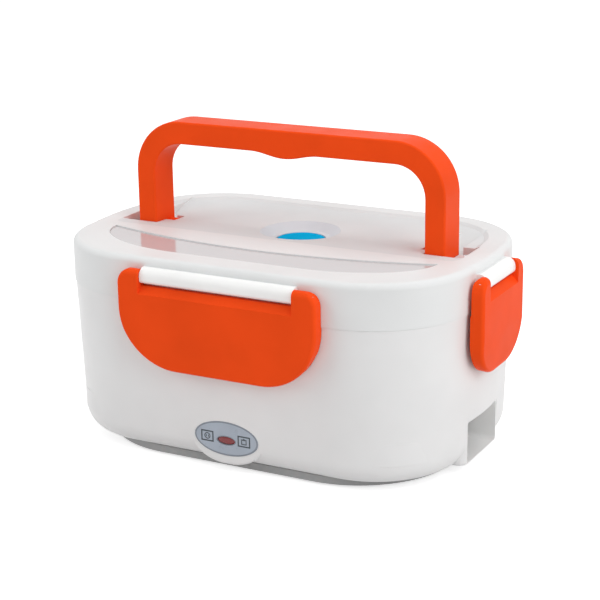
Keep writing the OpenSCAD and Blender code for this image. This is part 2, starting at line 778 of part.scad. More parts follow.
module lid_liner() {
    color("white") difference() {
        body_plate(lid_wall + 1, liner_z, liner_t);
        translate([0, vent_y, liner_z - eps])
            cylinder(h = liner_t + 2 * eps, r = stem_r + fit, $fn = fine);
        for (p = post_points) translate([p[0], p[1], liner_z - eps])
            cylinder(h = liner_t + 2 * eps, r = 1.5, $fn = 32);
    }
}

module liner_screws() {
    color("silver") for (p = post_points) translate([p[0], p[1], liner_z]) screw(9, 1.3, 2.6, 1.3);
}

module lid_gasket() {
    z = ledge_top + flange_t + fit;
    gasket_in = rim_step + case_wall + 0.7;
    color("gainsboro") difference() {
        body_plate(gasket_in, z, liner_z - z);
        body_plate(gasket_in + gasket_w, z - eps, liner_z - z + 2 * eps);
    }
}

module pin_pair(w, ear_w) {
    half = w / 2 - ear_w - fit;
    for (s = [-1, 1]) flip_x(s) rod_x(half - pin_in_lug, half + ear_w - ear_cap - 0.4, latch_pin_r);
}

module latch_pins() {
    color("silver") {
        on_front() pin_pair(long_latch_w, long_ear_w);
        on_back() pin_pair(long_latch_w, long_ear_w);
        on_right() pin_pair(short_latch_w, short_ear_w);
        on_left() pin_pair(short_latch_w, short_ear_w);
    }
}

module handle_pins() {
    x0 = leg_in - boss_len - 3.5;
    x1 = handle_w / 2 + leg_gap + slot_wall;
    color("silver") both_sides() translate([0, pivot_y, pivot_z]) {
        rod_x(x0, x1 + 0.5, handle_pin_r);
        rod_x(x1, x1 + 1.4, handle_pin_r + 1.2);
    }
}

module vent_seal() {
    color("white") translate([0, vent_y, 0]) difference() {
        translate([0, 0, liner_z - 1.2]) cylinder(h = 1.2, r = stem_r + 4, $fn = fine);
        translate([0, 0, liner_z - 2]) cylinder(h = 3, r = stem_r + fit, $fn = fine);
    }
}

// ---------------------------------------------------------------- handle

module handle() {
    hw = handle_w / 2;
    under = handle_top - bar_h;
    r_in = handle_r - leg_w;
    foot = pivot_z - boss_r;
    swell = [for (i = [0:16]) let (x = grip_half * (1 - i / 8))
        [x, under - grip_drop * (1 + cos(180 * x / grip_half)) / 2]];
    band = concat([[-hw, foot]], arc(-hw + handle_r, handle_top - handle_r, handle_r, 180, 90, 12),
        arc(hw - handle_r, handle_top - handle_r, handle_r, 90, 0, 12), [[hw, foot], [leg_in, foot]],
        arc(leg_in - r_in, under - r_in, r_in, 0, 90, 10), swell,
        arc(-leg_in + r_in, under - r_in, r_in, 90, 180, 10), [[-leg_in, foot]]);
    front = handle_y - handle_depth / 2;
    back = handle_y + handle_depth / 2;
    side_view = concat([[front, handle_top + 1], [front, pivot_z + 0.5]],
        arc(pivot_y, pivot_z, boss_r, -125, 0, 8), [[back, handle_top + 1]]);
    color("orangered") difference() {
        union() {
            intersection() {
                run_y(front, back, band);
                run_x(handle_w + 2, side_view);
            }
            both_sides() translate([leg_in - boss_len, pivot_y, pivot_z])
                rod_x(0, boss_len + 2, boss_r - boss_step);
        }
        both_sides() translate([leg_in - boss_len - 1, pivot_y, pivot_z])
            rod_x(0, boss_len + leg_w + 2, handle_pin_r + run_fit);
    }
}

// ---------------------------------------------------------------- latches

// A latch's face, moved inwards by d: round top corners and large round bottom corners
function latch_face(w, r, d) = let (h = w / 2 - d, top = barrel_r - d, bottom = -latch_drop + d,
        rt = 8 - d, rb = r - d)
    concat(arc(h - rb, bottom + rb, rb, -90, 0, 12), arc(h - rt, top - rt, rt, 0, 90, 6),
        arc(-h + rt, top - rt, rt, 90, 180, 6), arc(-h + rb, bottom + rb, rb, 180, 270, 12));

// The pivot is at the origin, the face looks towards -Y
module latch(w, r, ear_w) {
    lean = case_taper * latch_drop / case_h;
    half = w / 2 - ear_w;
    wall = 2.2;
    edge = 2;
    difference() {
        union() {
            difference() {
                intersection() {
                    hull() {
                        run_y(-barrel_r + edge, barrel_r + lean + 1, latch_face(w, r, 0));
                        run_y(-barrel_r + 0.6, barrel_r, latch_face(w, r, 0.6));
                        run_y(-barrel_r, barrel_r, latch_face(w, r, edge));
                    }
                    run_x(w + 2, concat(arc(0, 0, barrel_r, 0, 180, 12),
                        [[-barrel_r, -latch_drop + 20], [-barrel_r + lean, -latch_drop - 1],
                            [latch_back, -latch_drop - 1], [latch_back, part_z - latch_z],
                            [barrel_r, part_z - latch_z]]));
                }
                // hollow back
                intersection() {
                    run_y(-barrel_r + latch_plate, barrel_r + 10, latch_face(w, r, wall));
                    translate([-w, -barrel_r, -latch_drop - 5])
                        cube([2 * w, 30, latch_drop + 5 - 13]);
                }
            }
            // snap bead
            translate([-half + 4, -barrel_r + latch_plate - 0.5,
                -keeper_drop - keeper_h - fit - 2.8])
                cube([2 * half - 8, pivot_off - keeper_out - fit + barrel_r - latch_plate + 0.5,
                    2.8]);
        }
        // gap for the lid's lug, with a sloping sill
        run_x(2 * half, [[-barrel_r - 1, barrel_r + 5], [-barrel_r - 1, -9.3], [-barrel_r, -9],
            [0.4, -5.4], [pivot_off + 9, -5.4], [pivot_off + 9, barrel_r + 5]]);
        // bores of the pins
        for (s = [-1, 1]) flip_x(s)
            rod_x(half - 1, w / 2 - ear_cap, latch_pin_r + run_fit);
    }
}

module front_latch() { color("orangered") on_front() latch(long_latch_w, long_latch_r, long_ear_w); }
module back_latch() { color("orangered") on_back() latch(long_latch_w, long_latch_r, long_ear_w); }
module right_latch() { color("orangered") on_right() latch(short_latch_w, short_latch_r, short_ear_w); }
module left_latch() { color("orangered") on_left() latch(short_latch_w, short_latch_r, short_ear_w); }

// ---------------------------------------------------------------- vent plug, spoon and its cover

module vent_plug() {
    dome_r = 90;
    color("deepskyblue") translate([0, vent_y, 0]) {
        intersection() {
            translate([0, 0, seat_z]) cylinder(h = plug_t + 2, r = plug_r, $fn = 96);
            translate([0, 0, plug_top - dome_r]) sphere(r = dome_r, $fn = 120);
        }
        translate([0, 0, liner_z + 1]) cylinder(h = seat_z - liner_z, r = stem_r, $fn = fine);
    }
}

module spoon_cover() {
    color("gainsboro") leaf_plate(fit, cover_seat, tray_cover_t);
}

spoon_len = 124;
bowl_r = 8.6;
spoon_y = tray_front + 13.5;
module spoon() {
    z = tray_floor + fit;
    bowl_x = -spoon_len / 2 + bowl_r;
    dome = 14;
    color("orangered") {
        translate([bowl_x, spoon_y, z + dome]) difference() {
            intersection() {
                sphere(r = dome, $fn = 96);
                translate([0, 0, -dome]) cylinder(h = 5, r = bowl_r, $fn = fine);
            }
            sphere(r = dome - 1.4, $fn = 96);
        }
        translate([0, 0, z + 2.2]) linear_extrude(1.6) polygon([[bowl_x + bowl_r - 1.8, spoon_y - 3],
            [spoon_len / 2 - 4, spoon_y - 4.5], [spoon_len / 2, spoon_y - 2.5],
            [spoon_len / 2, spoon_y + 2.5], [spoon_len / 2 - 4, spoon_y + 4.5],
            [bowl_x + bowl_r - 1.8, spoon_y + 3]]);
    }
}

outer_case();
bottom_cover();
cover_screws();
feet();
heating_plate();
plate_seal();
heater_element();
heater_clamp();
clamp_screws();
thermal_cutout();
mains_wires();
indicator_wires();
indicator_board();
indicator_lens();
badge_plate();
inlet_socket();
inlet_pins();
inlet_screws();
food_container();
side_dish_cup();
lid_shell();
lid_liner();
liner_screws();
lid_gasket();
latch_pins();
handle_pins();
vent_seal();
handle();
front_latch();
back_latch();
left_latch();
right_latch();
vent_plug();
spoon_cover();
spoon();
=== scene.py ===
"""Electric lunch box: finished shells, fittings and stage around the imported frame."""

import json
import math

import bpy
from bpy.props import FloatProperty, FloatVectorProperty, IntProperty, PointerProperty
from bpy.types import Operator, Panel, PropertyGroup
from mathutils import Matrix, Vector

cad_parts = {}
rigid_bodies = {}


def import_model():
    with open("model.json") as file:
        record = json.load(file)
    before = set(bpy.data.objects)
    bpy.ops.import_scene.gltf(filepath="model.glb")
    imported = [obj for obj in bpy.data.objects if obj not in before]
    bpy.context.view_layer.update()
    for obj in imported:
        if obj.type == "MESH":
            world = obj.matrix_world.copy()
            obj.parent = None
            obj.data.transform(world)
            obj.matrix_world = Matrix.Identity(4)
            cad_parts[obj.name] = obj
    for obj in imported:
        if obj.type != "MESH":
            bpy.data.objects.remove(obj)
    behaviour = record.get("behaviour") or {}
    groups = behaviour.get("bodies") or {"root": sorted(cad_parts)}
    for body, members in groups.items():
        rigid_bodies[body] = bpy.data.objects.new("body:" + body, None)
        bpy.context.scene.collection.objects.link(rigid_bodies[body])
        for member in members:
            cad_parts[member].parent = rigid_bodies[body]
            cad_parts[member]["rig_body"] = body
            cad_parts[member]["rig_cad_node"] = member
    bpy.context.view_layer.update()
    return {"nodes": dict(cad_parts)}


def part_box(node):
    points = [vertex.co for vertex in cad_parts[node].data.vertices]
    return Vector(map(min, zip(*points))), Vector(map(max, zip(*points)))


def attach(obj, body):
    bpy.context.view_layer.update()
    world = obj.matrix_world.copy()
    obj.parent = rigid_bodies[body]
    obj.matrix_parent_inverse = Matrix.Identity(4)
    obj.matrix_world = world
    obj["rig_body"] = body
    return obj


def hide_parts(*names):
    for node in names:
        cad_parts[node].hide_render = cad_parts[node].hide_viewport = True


bl_info = {
    "name": "Electric Lunch Box",
    "version": (1, 0, 0),
    "blender": (4, 5, 0),
    "location": "View3D > Sidebar > Lunch Box",
    "description": "Dresses the lunch box's frame with finished shells, fittings and materials",
    "category": "Object",
}

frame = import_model()
CASE_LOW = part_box("outer_case")[0]
LID_LOW, LID_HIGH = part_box("lid_shell")
PLUG_LOW, PLUG_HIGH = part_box("vent_plug")
HANDLE_LOW, HANDLE_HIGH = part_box("handle")
COVER_LOW, COVER_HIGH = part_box("spoon_cover")
BADGE_LOW, BADGE_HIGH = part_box("badge_plate")
LENS_LOW, LENS_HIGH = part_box("indicator_lens")
BADGE_MIDDLE = (BADGE_LOW.z + BADGE_HIGH.z) / 2
LENS_MIDDLE = (LENS_LOW.z + LENS_HIGH.z) / 2
MM = 0.001


def size_of(name, text, default):
    """A length that shows in the panel."""
    return FloatProperty(name=name, description=text, default=default, unit="LENGTH", min=0.0)


def colour_of(name, text, default):
    """A colour that shows in the panel."""
    return FloatVectorProperty(name=name, description=text, default=default, subtype="COLOR",
                               size=3, min=0.0, max=1.0)


# ------------------------------------------------------------------ settings


class ShellSettings(PropertyGroup):
    length: size_of("Length", "Length of the lid's outline", 228 * MM)
    depth: size_of("Depth", "Depth of the lid's outline", 150 * MM)
    corner: size_of("Corner", "Radius of the outline's corners", 52 * MM)
    bow: size_of("Bow", "How far the short sides bow out", 1.6 * MM)
    wall: size_of("Wall", "Wall of the case and of the lid's skirt", 2.4 * MM)
    step: size_of("Step", "Step from the lid's side in to the case's side", 0.5 * MM)
    taper: size_of("Taper", "How far the case narrows towards its bottom edge", 2.7 * MM)
    edge_out: size_of("Edge width", "Width of the rounded bottom edge", 10.5 * MM)
    edge_up: size_of("Edge height", "Height of the rounded bottom edge", 11.5 * MM)
    lid_edge: size_of("Lid edge", "Radius of the lid's top edge", 3.5 * MM)
    rim: size_of("Rim", "Width of the raised rim around the rear dish", 12.5 * MM)
    dish: size_of("Dish", "Depth of the rear dish", 1.2 * MM)
    dish_slope: size_of("Dish slope", "From the ridge back to the dish's level floor", 24 * MM)
    ridge: FloatProperty(name="Ridge", description="Place of the ridge's rear edge, front to back",
                         default=-16.5 * MM, unit="LENGTH")
    deck: size_of("Deck", "Height of the deck's upper face", 30.5 * MM)
    deck_wall: size_of("Deck thickness", "Thickness of the deck", 2.5 * MM)


class HandleSettings(PropertyGroup):
    leg: size_of("Leg", "Width of a handle leg", 11.2 * MM)
    bar: size_of("Bar", "Height of the handle's bar", 12.2 * MM)
    radius: size_of("Corner", "Outer radius of the handle's corners", 28 * MM)
    edge: size_of("Edge", "Rounding of the handle's edges", 1.1 * MM)
    swell: size_of("Swell", "How far the grip swells downwards", 2.8 * MM)
    swell_half: size_of("Swell length", "Half length of the grip's swelling", 20 * MM)
    pivot_y: size_of("Pivot", "Place of the pivot, front to back", 7.3 * MM)
    pivot_z: size_of("Pivot height", "Height of the pivot", 104 * MM)
    boss: size_of("Boss", "Radius of the pivot boss", 4.9 * MM)
    boss_length: size_of("Boss length", "How far the boss stands out of the leg", 5.5 * MM)


class LatchSettings(PropertyGroup):
    long_width: size_of("Long width", "Width of the front and back latches", 113 * MM)
    short_width: size_of("Short width", "Width of the left and right latches", 55 * MM)
    drop: size_of("Drop", "Length of a latch below its pivot", 48.7 * MM)
    barrel: size_of("Barrel", "Radius of the hinge barrel", 3.3 * MM)
    long_corner: size_of("Long corner", "Lower corner radius of the long latches", 32 * MM)
    short_corner: size_of("Short corner", "Lower corner radius of the short latches", 20 * MM)
    top_corner: size_of("Top corner", "Upper corner radius of a latch", 8 * MM)
    long_ear: size_of("Long ear", "Width of a long latch's ear", 12.6 * MM)
    short_ear: size_of("Short ear", "Width of a short latch's ear", 8.5 * MM)
    plate: size_of("Plate", "Thickness of a latch's face", 2.4 * MM)
    edge: size_of("Edge", "Rounding of a latch's front edges", 1.8 * MM)
    pivot_z: size_of("Pivot height", "Height of the latch pins", 101.7 * MM)
    pivot_out: size_of("Pivot", "From the lid's side out to the latch pins", 3.6 * MM)


class BadgeSettings(PropertyGroup):
    side: size_of("Side", "From the badge's side out to the edge of its boss", 1.9 * MM)
    above: size_of("Above", "How much taller than the badge its boss is, on the radius", 3.1 * MM)
    drop: size_of("Drop", "From the badge's middle down to the middle of its boss", 1.9 * MM)
    boss_edge: size_of("Boss edge", "Rounding of the boss's front edge", 1.2 * MM)
    rim: size_of("Rim", "Width of the badge's darker rim", 0.9 * MM)
    icon_width: size_of("Icon width", "Width of an icon's square", 7.3 * MM)
    icon_height: size_of("Icon height", "Height of an icon's square", 5.9 * MM)
    line: size_of("Line", "Width of the icons' lines", 0.7 * MM)


class VentSettings(PropertyGroup):
    place: size_of("Place", "Place of the vent, front to back", 11 * MM)
    well: size_of("Well", "Radius of the dip round the vent, at its upper edge", 21.5 * MM)
    seat: size_of("Seat", "Radius of the plug's seat", 13.5 * MM)
    floor: size_of("Floor", "Radius of the level floor round the plug", 16.5 * MM)
    dip: size_of("Dip", "Height of the level floor round the plug", 104.6 * MM)


class FinishSettings(PropertyGroup):
    case: colour_of("Case", "Colour of the case", (0.83, 0.83, 0.83))
    lid: colour_of("Lid", "Colour of the lid", (0.81, 0.82, 0.82))
    # polished is painted light: a lighter white stands in for the lugs' highlight and lifts the
    # shade inside the inlet's recess.
    polished: colour_of("Smooth white, painted light", "Lighter white painted on the lugs as a highlight and in the inlet's recess against its shade",
                        (0.97, 0.97, 0.96))
    # The rear dish is painted a little darker than the lid.
    dish: colour_of("Dish", "Colour of the rear dish, darker than the lid", (0.745, 0.775, 0.78))
    # The well's colour is painted shade on its wall, with a painted blue reflection of the plug.
    well: colour_of("Well", "Colour of the well around the vent plug: painted shade with a painted blue reflection of the plug", (0.71, 0.76, 0.79))
    orange: colour_of("Orange", "Colour of the handle and the latches", (0.94, 0.080, 0.012))
    blue: colour_of("Blue", "Colour of the vent plug", (0.006, 0.46, 0.82))
    cover: colour_of("Cover", "Colour of the spoon cover", (0.58, 0.56, 0.57))
    base: colour_of("Base", "Colour of the bottom cover", (0.40, 0.40, 0.40))
    badge: colour_of("Badge", "Colour of the indicator badge", (0.40, 0.455, 0.53))
    lens: colour_of("Lens", "Colour of the indicator lens", (0.23, 0.014, 0.017))


class StageSettings(PropertyGroup):
    azimuth: FloatProperty(name="Azimuth", description="Camera's turn round the box, in degrees",
                           default=28.28)
    elevation: FloatProperty(name="Elevation", description="Camera's height angle, in degrees",
                             default=16.69)
    roll: FloatProperty(name="Roll", description="Camera's roll, in degrees", default=-0.86)
    distance: size_of("Distance", "From the camera to its target", 870.15 * MM)
    focal: FloatProperty(name="Focal length", description="In widths of the picture",
                         default=1627.16 / 600)
    target: FloatVectorProperty(name="Target", description="Point that the camera looks at",
                                default=(4.84 * MM, 0, 73.62 * MM), subtype="XYZ", size=3)
    ambient: FloatProperty(name="Ambient", description="Strength of the even light", default=0.52)
    floor: FloatProperty(name="Floor", description="Lightness of the floor", default=0.75)
    floor_glow: FloatProperty(name="Floor glow", description="Added to what is seen of the floor",
                              default=0.64)
    right: FloatProperty(name="Right", description="Power of the right soft box", default=7.0)
    left: FloatProperty(name="Left", description="Power of the left soft box", default=4.5)
    top: FloatProperty(name="Top", description="Power of the top soft box", default=5.0)


# ------------------------------------------------------------------ modelling tools

HAIR = 0.01 * MM
FACING = 0.85
PAST = 5 * MM
OVER = 3 * MM
SAME_POINT = 0.002 * MM
ROUND_ANGLE = 34
FLAT_WEIGHT = 90
CORNER_STEPS = 22
BOW_STEPS = 8


def only_none():
    """Deselects all, so that the next primitive is selected alone."""
    bpy.ops.object.select_all(action="DESELECT")


def only(obj):
    """Selects this object alone and makes it the active one."""
    only_none()
    obj.select_set(True)
    bpy.context.view_layer.objects.active = obj


class Editing:
    """Edit mode on one object, left again at the end of the block."""

    def __init__(self, obj, kind="FACE"):
        self.obj = obj
        self.kind = kind

    def __enter__(self):
        only(self.obj)
        bpy.ops.object.mode_set(mode="EDIT")
        bpy.ops.mesh.select_mode(type=self.kind)
        return self

    def __exit__(self, *unused):
        bpy.ops.object.mode_set(mode="OBJECT")

    def all(self):
        """Selects the whole mesh."""
        bpy.ops.mesh.select_all(action="SELECT")

    def split(self, place, normal, **ends):
        """Cuts the whole mesh along a plane, and may clear and close one side of it."""
        self.all()
        bpy.ops.mesh.bisect(plane_co=place, plane_no=normal, **ends)

    def pick(self, rule):
        """Selects the faces or points for which rule(middle, normal) holds."""
        bpy.ops.mesh.select_mode(type=self.kind)
        bpy.ops.mesh.select_all(action="DESELECT")
        bpy.ops.object.mode_set(mode="OBJECT")
        if self.kind == "FACE":
            for face in self.obj.data.polygons:
                face.select = bool(rule(face.center, face.normal))
        else:
            for point in self.obj.data.vertices:
                point.select = bool(rule(point.co, point.normal))
        bpy.ops.object.mode_set(mode="EDIT")

    def pick_edges(self, rule, sharp=None):
        """Selects the edges for which rule(end, other end) holds, of the sharp ones if asked."""
        bpy.ops.mesh.select_mode(type="EDGE")
        bpy.ops.mesh.select_all(action="DESELECT")
        if sharp is not None:
            bpy.ops.mesh.edges_select_sharp(sharpness=math.radians(sharp))
        bpy.ops.object.mode_set(mode="OBJECT")
        mesh = self.obj.data
        chosen = []
        for edge in mesh.edges:
            ends = [mesh.vertices[i].co for i in edge.vertices]
            chosen.append(bool((edge.select or sharp is None) and rule(*ends)))
        for items in (mesh.vertices, mesh.polygons):
            items.foreach_set("select", [False] * len(items))
        mesh.edges.foreach_set("select", chosen)
        bpy.ops.object.mode_set(mode="EDIT")
        return any(chosen)


def above(height, *points):
    """True where all the points lie at a height or higher."""
    return min(p.z for p in points) > height - HAIR


def below(height, *points):
    """True where all the points lie at a height or lower."""
    return max(p.z for p in points) < height + HAIR


def in_front(place, *points):
    """True where all the points lie at a place or before it."""
    return max(p.y for p in points) < place + HAIR


def runs(axis, a, b):
    """True for an edge that goes more than a millimetre along x, y or z."""
    return abs(getattr(a, axis) - getattr(b, axis)) > MM


def named(obj, name):
    obj.name = name
    obj.data.name = name
    return obj


def settle(obj):
    """Puts the object's place, turn and scale into its mesh."""
    only(obj)
    bpy.ops.object.transform_apply(location=True, rotation=True, scale=True)
    return obj


def block(name, low, high):
    """A box between two corners."""
    only_none()
    low, high = Vector(low), Vector(high)
    bpy.ops.mesh.primitive_cube_add(size=1, location=(low + high) / 2)
    obj = bpy.context.object
    obj.scale = high - low
    return settle(named(obj, name))


def drum(name, radius, low, high, axis="Z", sides=64, tip=None):
    """A cylinder from low to high along an axis, or a cone towards the tip radius."""
    only_none()
    low, high = Vector(low), Vector(high)
    turn = {"X": (0, math.pi / 2, 0), "Y": (-math.pi / 2, 0, 0), "Z": (0, 0, 0)}[axis]
    bpy.ops.mesh.primitive_cone_add(vertices=sides, radius1=radius,
                                    radius2=radius if tip is None else tip,
                                    depth=(high - low).length,
                                    location=(low + high) / 2, rotation=turn)
    return settle(named(bpy.context.object, name))


def upright_oval(name, half_x, half_z, middle, front, back, sides=96):
    """An oval plate from front to back, whose middle is at a height."""
    oval = drum(name, 1.0, (0, front, 0), (0, back, 0), axis="Y", sides=sides)
    oval.scale = (half_x, 1, half_z)
    settle(oval)
    oval.location = (0, 0, middle)
    return settle(oval)


def modify(obj, kind, **values):
    """Adds one modifier and applies it."""
    only(obj)
    bpy.ops.object.modifier_add(type=kind)
    mod = obj.modifiers[-1]
    for name, value in values.items():
        setattr(mod, name, value)
    bpy.ops.object.modifier_apply(modifier=mod.name)
    return obj


def combine(obj, tool, how):
    """Cuts the tool out of the piece, joins it on, or keeps what both share."""
    modify(obj, "BOOLEAN", operation=how, object=tool, solver="EXACT")
    bpy.data.objects.remove(tool, do_unlink=True)
    return obj


def cut(obj, tool):
    return combine(obj, tool, "DIFFERENCE")


def weld(obj, tool):
    return combine(obj, tool, "UNION")


def shared(obj, tool):
    return combine(obj, tool, "INTERSECT")


def round_edges(obj, width, rule, sharp=30, segments=4):
    """Rounds the sharp edges for which rule(end, other end) holds."""
    with Editing(obj, "EDGE") as edit:
        if edit.pick_edges(rule, sharp=sharp):
            bpy.ops.mesh.bevel(offset=width, segments=segments, affect="EDGES",
                               clamp_overlap=True, loop_slide=False)
    return obj


def soften(obj, width, sharp=35, segments=3):
    """Rounds every sharp edge by a little."""
    return modify(obj, "BEVEL", width=width, segments=segments, limit_method="ANGLE",
                  angle_limit=math.radians(sharp), use_clamp_overlap=True, miter_outer="MITER_ARC")


def shade_round(obj, angle):
    """Shades the faces smooth that meet at less than an angle."""
    only(obj)
    bpy.ops.object.shade_smooth_by_angle(angle=math.radians(angle))
    return obj


def smooth(obj, angle=ROUND_ANGLE):
    """Shades round faces smooth and lets large flat faces keep their own direction."""
    return modify(shade_round(obj, angle), "WEIGHTED_NORMAL", weight=FLAT_WEIGHT, keep_sharp=True)


def heal(obj, size=0.02 * MM):
    """Merges points that lie closer than size, and closes what that leaves open."""
    with Editing(obj) as edit:
        edit.all()
        bpy.ops.mesh.remove_doubles(threshold=size)
        bpy.ops.mesh.dissolve_degenerate(threshold=size)
        edit.all()
        bpy.ops.mesh.fill_holes(sides=0)
    return obj


def recalculate(obj):
    """Merges doubles and turns all faces outwards."""
    with Editing(obj) as edit:
        edit.all()
        bpy.ops.mesh.remove_doubles(threshold=SAME_POINT)
        bpy.ops.mesh.normals_make_consistent(inside=False)
    return obj


def turned(obj, angle):
    """Turns a mesh about the box's upright middle line, angle in degrees."""
    obj.data.transform(Matrix.Rotation(math.radians(angle), 4, "Z"))
    return obj


def on_side(obj, side):
    """Leaves a tool on the right, side 1, or mirrors it to the left, side -1."""
    if side < 0:
        obj.data.transform(Matrix.Scale(-1, 4, (1, 0, 0)))
        recalculate(obj)
    return obj


def twin(obj, name):
    """A copy with its own mesh."""
    only(obj)
    bpy.ops.object.duplicate()
    return named(bpy.context.object, name)


class Levels:
    """Builds a shell from one flat face by insets and extrusions, one level after another."""

    def __init__(self, shell, inward, height, facing):
        self.half = (shell.length / 2, shell.depth / 2)
        self.inward = inward
        self.height = height
        self.facing = facing

    def to(self, inward, height):
        """The face moves in from the outline by inward, and to this height."""
        step = inward - self.inward
        rise = height - self.height
        if step > HAIR:
            bpy.ops.mesh.inset(thickness=step, depth=rise * self.facing)
        else:
            bpy.ops.mesh.extrude_region_move(TRANSFORM_OT_translate={"value": (0, 0, rise)})
        if step < -HAIR:
            grow_x, grow_y = ((half - inward) / (half - self.inward) for half in self.half)
            bpy.ops.transform.resize(value=(grow_x, grow_y, 1), center_override=(0, 0, height))
        self.inward = inward
        self.height = height

    def quarter(self, out, up, steps):
        """A quarter of an ellipse: out is its width and up its signed height."""
        start_in, start_z = self.inward, self.height
        for i in range(1, steps + 1):
            angle = math.pi / 2 * i / steps
            self.to(start_in + out * (1 - math.cos(angle)), start_z + up * math.sin(angle))


def body_plate(shell, name, inward, height, facing_up=True):
    """A flat face with the body's outline: round corners and short sides that bow out."""
    edge_x = shell.length / 2 - shell.bow - inward
    straight = shell.depth / 2 - shell.corner
    only_none()
    bpy.ops.mesh.primitive_plane_add(size=1, location=(0, 0, height))
    plate = bpy.context.object
    plate.scale = (2 * edge_x, 2 * (shell.depth / 2 - inward), 1)
    settle(named(plate, name))
    with Editing(plate, "VERT") as edit:
        edit.all()
        bpy.ops.mesh.bevel(offset=shell.corner - inward, segments=CORNER_STEPS, affect="VERTICES")
        edit.pick_edges(lambda a, b: min(abs(a.x), abs(b.x)) > edge_x - HAIR and a.x * b.x > 0)
        bpy.ops.mesh.subdivide(number_cuts=BOW_STEPS - 1)
        for i in range(BOW_STEPS // 2):
            row = straight * 2 * i / BOW_STEPS
            edit.pick(lambda p, n: abs(p.x) > edge_x - HAIR and abs(abs(p.y) - row) < HAIR)
            bulge = shell.bow * (1 - (row / straight) ** 2)
            bpy.ops.transform.resize(value=((edge_x + bulge) / edge_x, 1, 1),
                                     center_override=(0, 0, height))
        if not facing_up:
            edit.all()
            bpy.ops.mesh.flip_normals()
    return plate


def open_top(edit, height):
    """Closes the open loop at a height with one face, and leaves that face selected."""
    edit.pick_edges(lambda a, b: max(abs(a.z - height), abs(b.z - height)) < HAIR)
    bpy.ops.mesh.edge_face_add()
    bpy.ops.mesh.select_mode(type="FACE")


def side_in(shell, height):
    """How far the case's side lies inside the lid's outline at a height."""
    return shell.step + shell.taper * (LID_LOW.z - height) / (LID_LOW.z - CASE_LOW.z)


# ------------------------------------------------------------------ materials

NOISE_LOW = 0.3
NOISE_HIGH = 0.7
WAVES = 20
SCRATCH = (1, 1, 0.03)


def shade(colour, factor):
    return tuple(min(1.0, c * factor) for c in colour)


def add_node(tree, kind, links=(), values=(), **settings):
    """Adds a node with these settings, even values and links from other nodes."""
    node = tree.nodes.new(kind)
    for name, value in settings.items():
        setattr(node, name, value)
    for socket, value in values:
        node.inputs[socket].default_value = value
    for socket, source in links:
        tree.links.new(source, node.inputs[socket])
    return node


class Nodes:
    """A material's node tree, with a shader whose own sockets hold its even values."""

    def __init__(self, name, colour, roughness, metallic=0.0, coat=0.0, coat_roughness=0.1,
                 specular=0.5):
        self.material = bpy.data.materials.new(name)
        self.material.use_nodes = True
        self.tree = self.material.node_tree
        self.shader = self.tree.nodes["Principled BSDF"]
        self.material.diffuse_color = (*colour, 1)
        self.even(("Base Color", (*colour, 1)), ("Roughness", roughness), ("Metallic", metallic),
                  ("Coat Weight", coat), ("Coat Roughness", coat_roughness),
                  ("Specular IOR Level", specular))
        self.place = self.add("ShaderNodeTexCoord").outputs["Object"]

    def even(self, *values):
        for socket, value in values:
            self.shader.inputs[socket].default_value = value

    def add(self, kind, **what):
        return add_node(self.tree, kind, **what)

    def noise(self, size, detail=3.0, along=None):
        """A noise whose grains are about this size, in metres."""
        return self.add("ShaderNodeTexNoise", links=(("Vector", along or self.place),),
                        values=(("Scale", 1 / size), ("Detail", detail))).outputs["Fac"]

    def between(self, factor, low, high):
        """A value that runs from low to high over the middle of a noise's range."""
        return self.add("ShaderNodeMapRange", links=(("Value", factor),),
                        values=(("From Min", NOISE_LOW), ("From Max", NOISE_HIGH),
                                ("To Min", low), ("To Max", high))).outputs["Result"]

    def spread(self, factor, colour, share):
        """The base colour, darker and lighter by a share with the factor."""
        node = self.add("ShaderNodeMix", data_type="RGBA")
        node.inputs["A"].default_value = (*shade(colour, 1 - share), 1)
        node.inputs["B"].default_value = (*shade(colour, 1 + share), 1)
        self.tree.links.new(self.between(factor, 0, 1), node.inputs["Factor"])
        self.to_shader("Base Color", node.outputs["Result"])

    def wear(self, factor, roughness, low, high):
        """The roughness, between these shares of it with the factor."""
        self.to_shader("Roughness", self.between(factor, roughness * low, roughness * high))

    def to_shader(self, socket, source):
        self.tree.links.new(source, self.shader.inputs[socket])

    def bump(self, height, depth, strength=1.0, after=None):
        """Raises the surface by height times depth; a chain of bumps ends in the shader."""
        links = [("Height", height)]
        if after:
            links.append(("Normal", after))
        node = self.add("ShaderNodeBump", links=links,
                        values=(("Strength", strength), ("Distance", depth)))
        self.to_shader("Normal", node.outputs["Normal"])
        return node.outputs["Normal"]


def moulded(name, colour, roughness, grain=0.35 * MM, depth=0.004 * MM, mottle=0.02, coat=0.0,
            coat_roughness=0.1, specular=0.5, tint=(1, 1, 1), flow=14 * MM):
    """Moulded plastic: fine grain, slow waves left by the mould, faint mottling and worn gloss."""
    made = Nodes(name, colour, roughness, coat=coat, coat_roughness=coat_roughness,
                 specular=specular)
    made.even(("Specular Tint", (*tint, 1)))
    made.spread(made.noise(flow * 2.2, detail=2.0), colour, mottle)
    made.wear(made.noise(flow, detail=4.0), roughness, 0.88, 1.14)
    slow = made.bump(made.noise(flow, detail=1.0), depth * 3, strength=0.5)
    made.bump(made.noise(grain, detail=2.0), depth, after=slow)
    return made.material


def brushed(name, colour, roughness, grain=0.4 * MM, depth=0.006 * MM):
    """Brushed metal: long fine upright scratches."""
    made = Nodes(name, colour, roughness, metallic=1.0)
    drawn = made.add("ShaderNodeMapping", links=(("Vector", made.place),),
                     values=(("Scale", SCRATCH),)).outputs["Vector"]
    lines = made.noise(grain, detail=4.0, along=drawn)
    made.spread(lines, colour, 0.05)
    made.wear(lines, roughness, 0.8, 1.25)
    made.bump(lines, depth, strength=0.6)
    return made.material


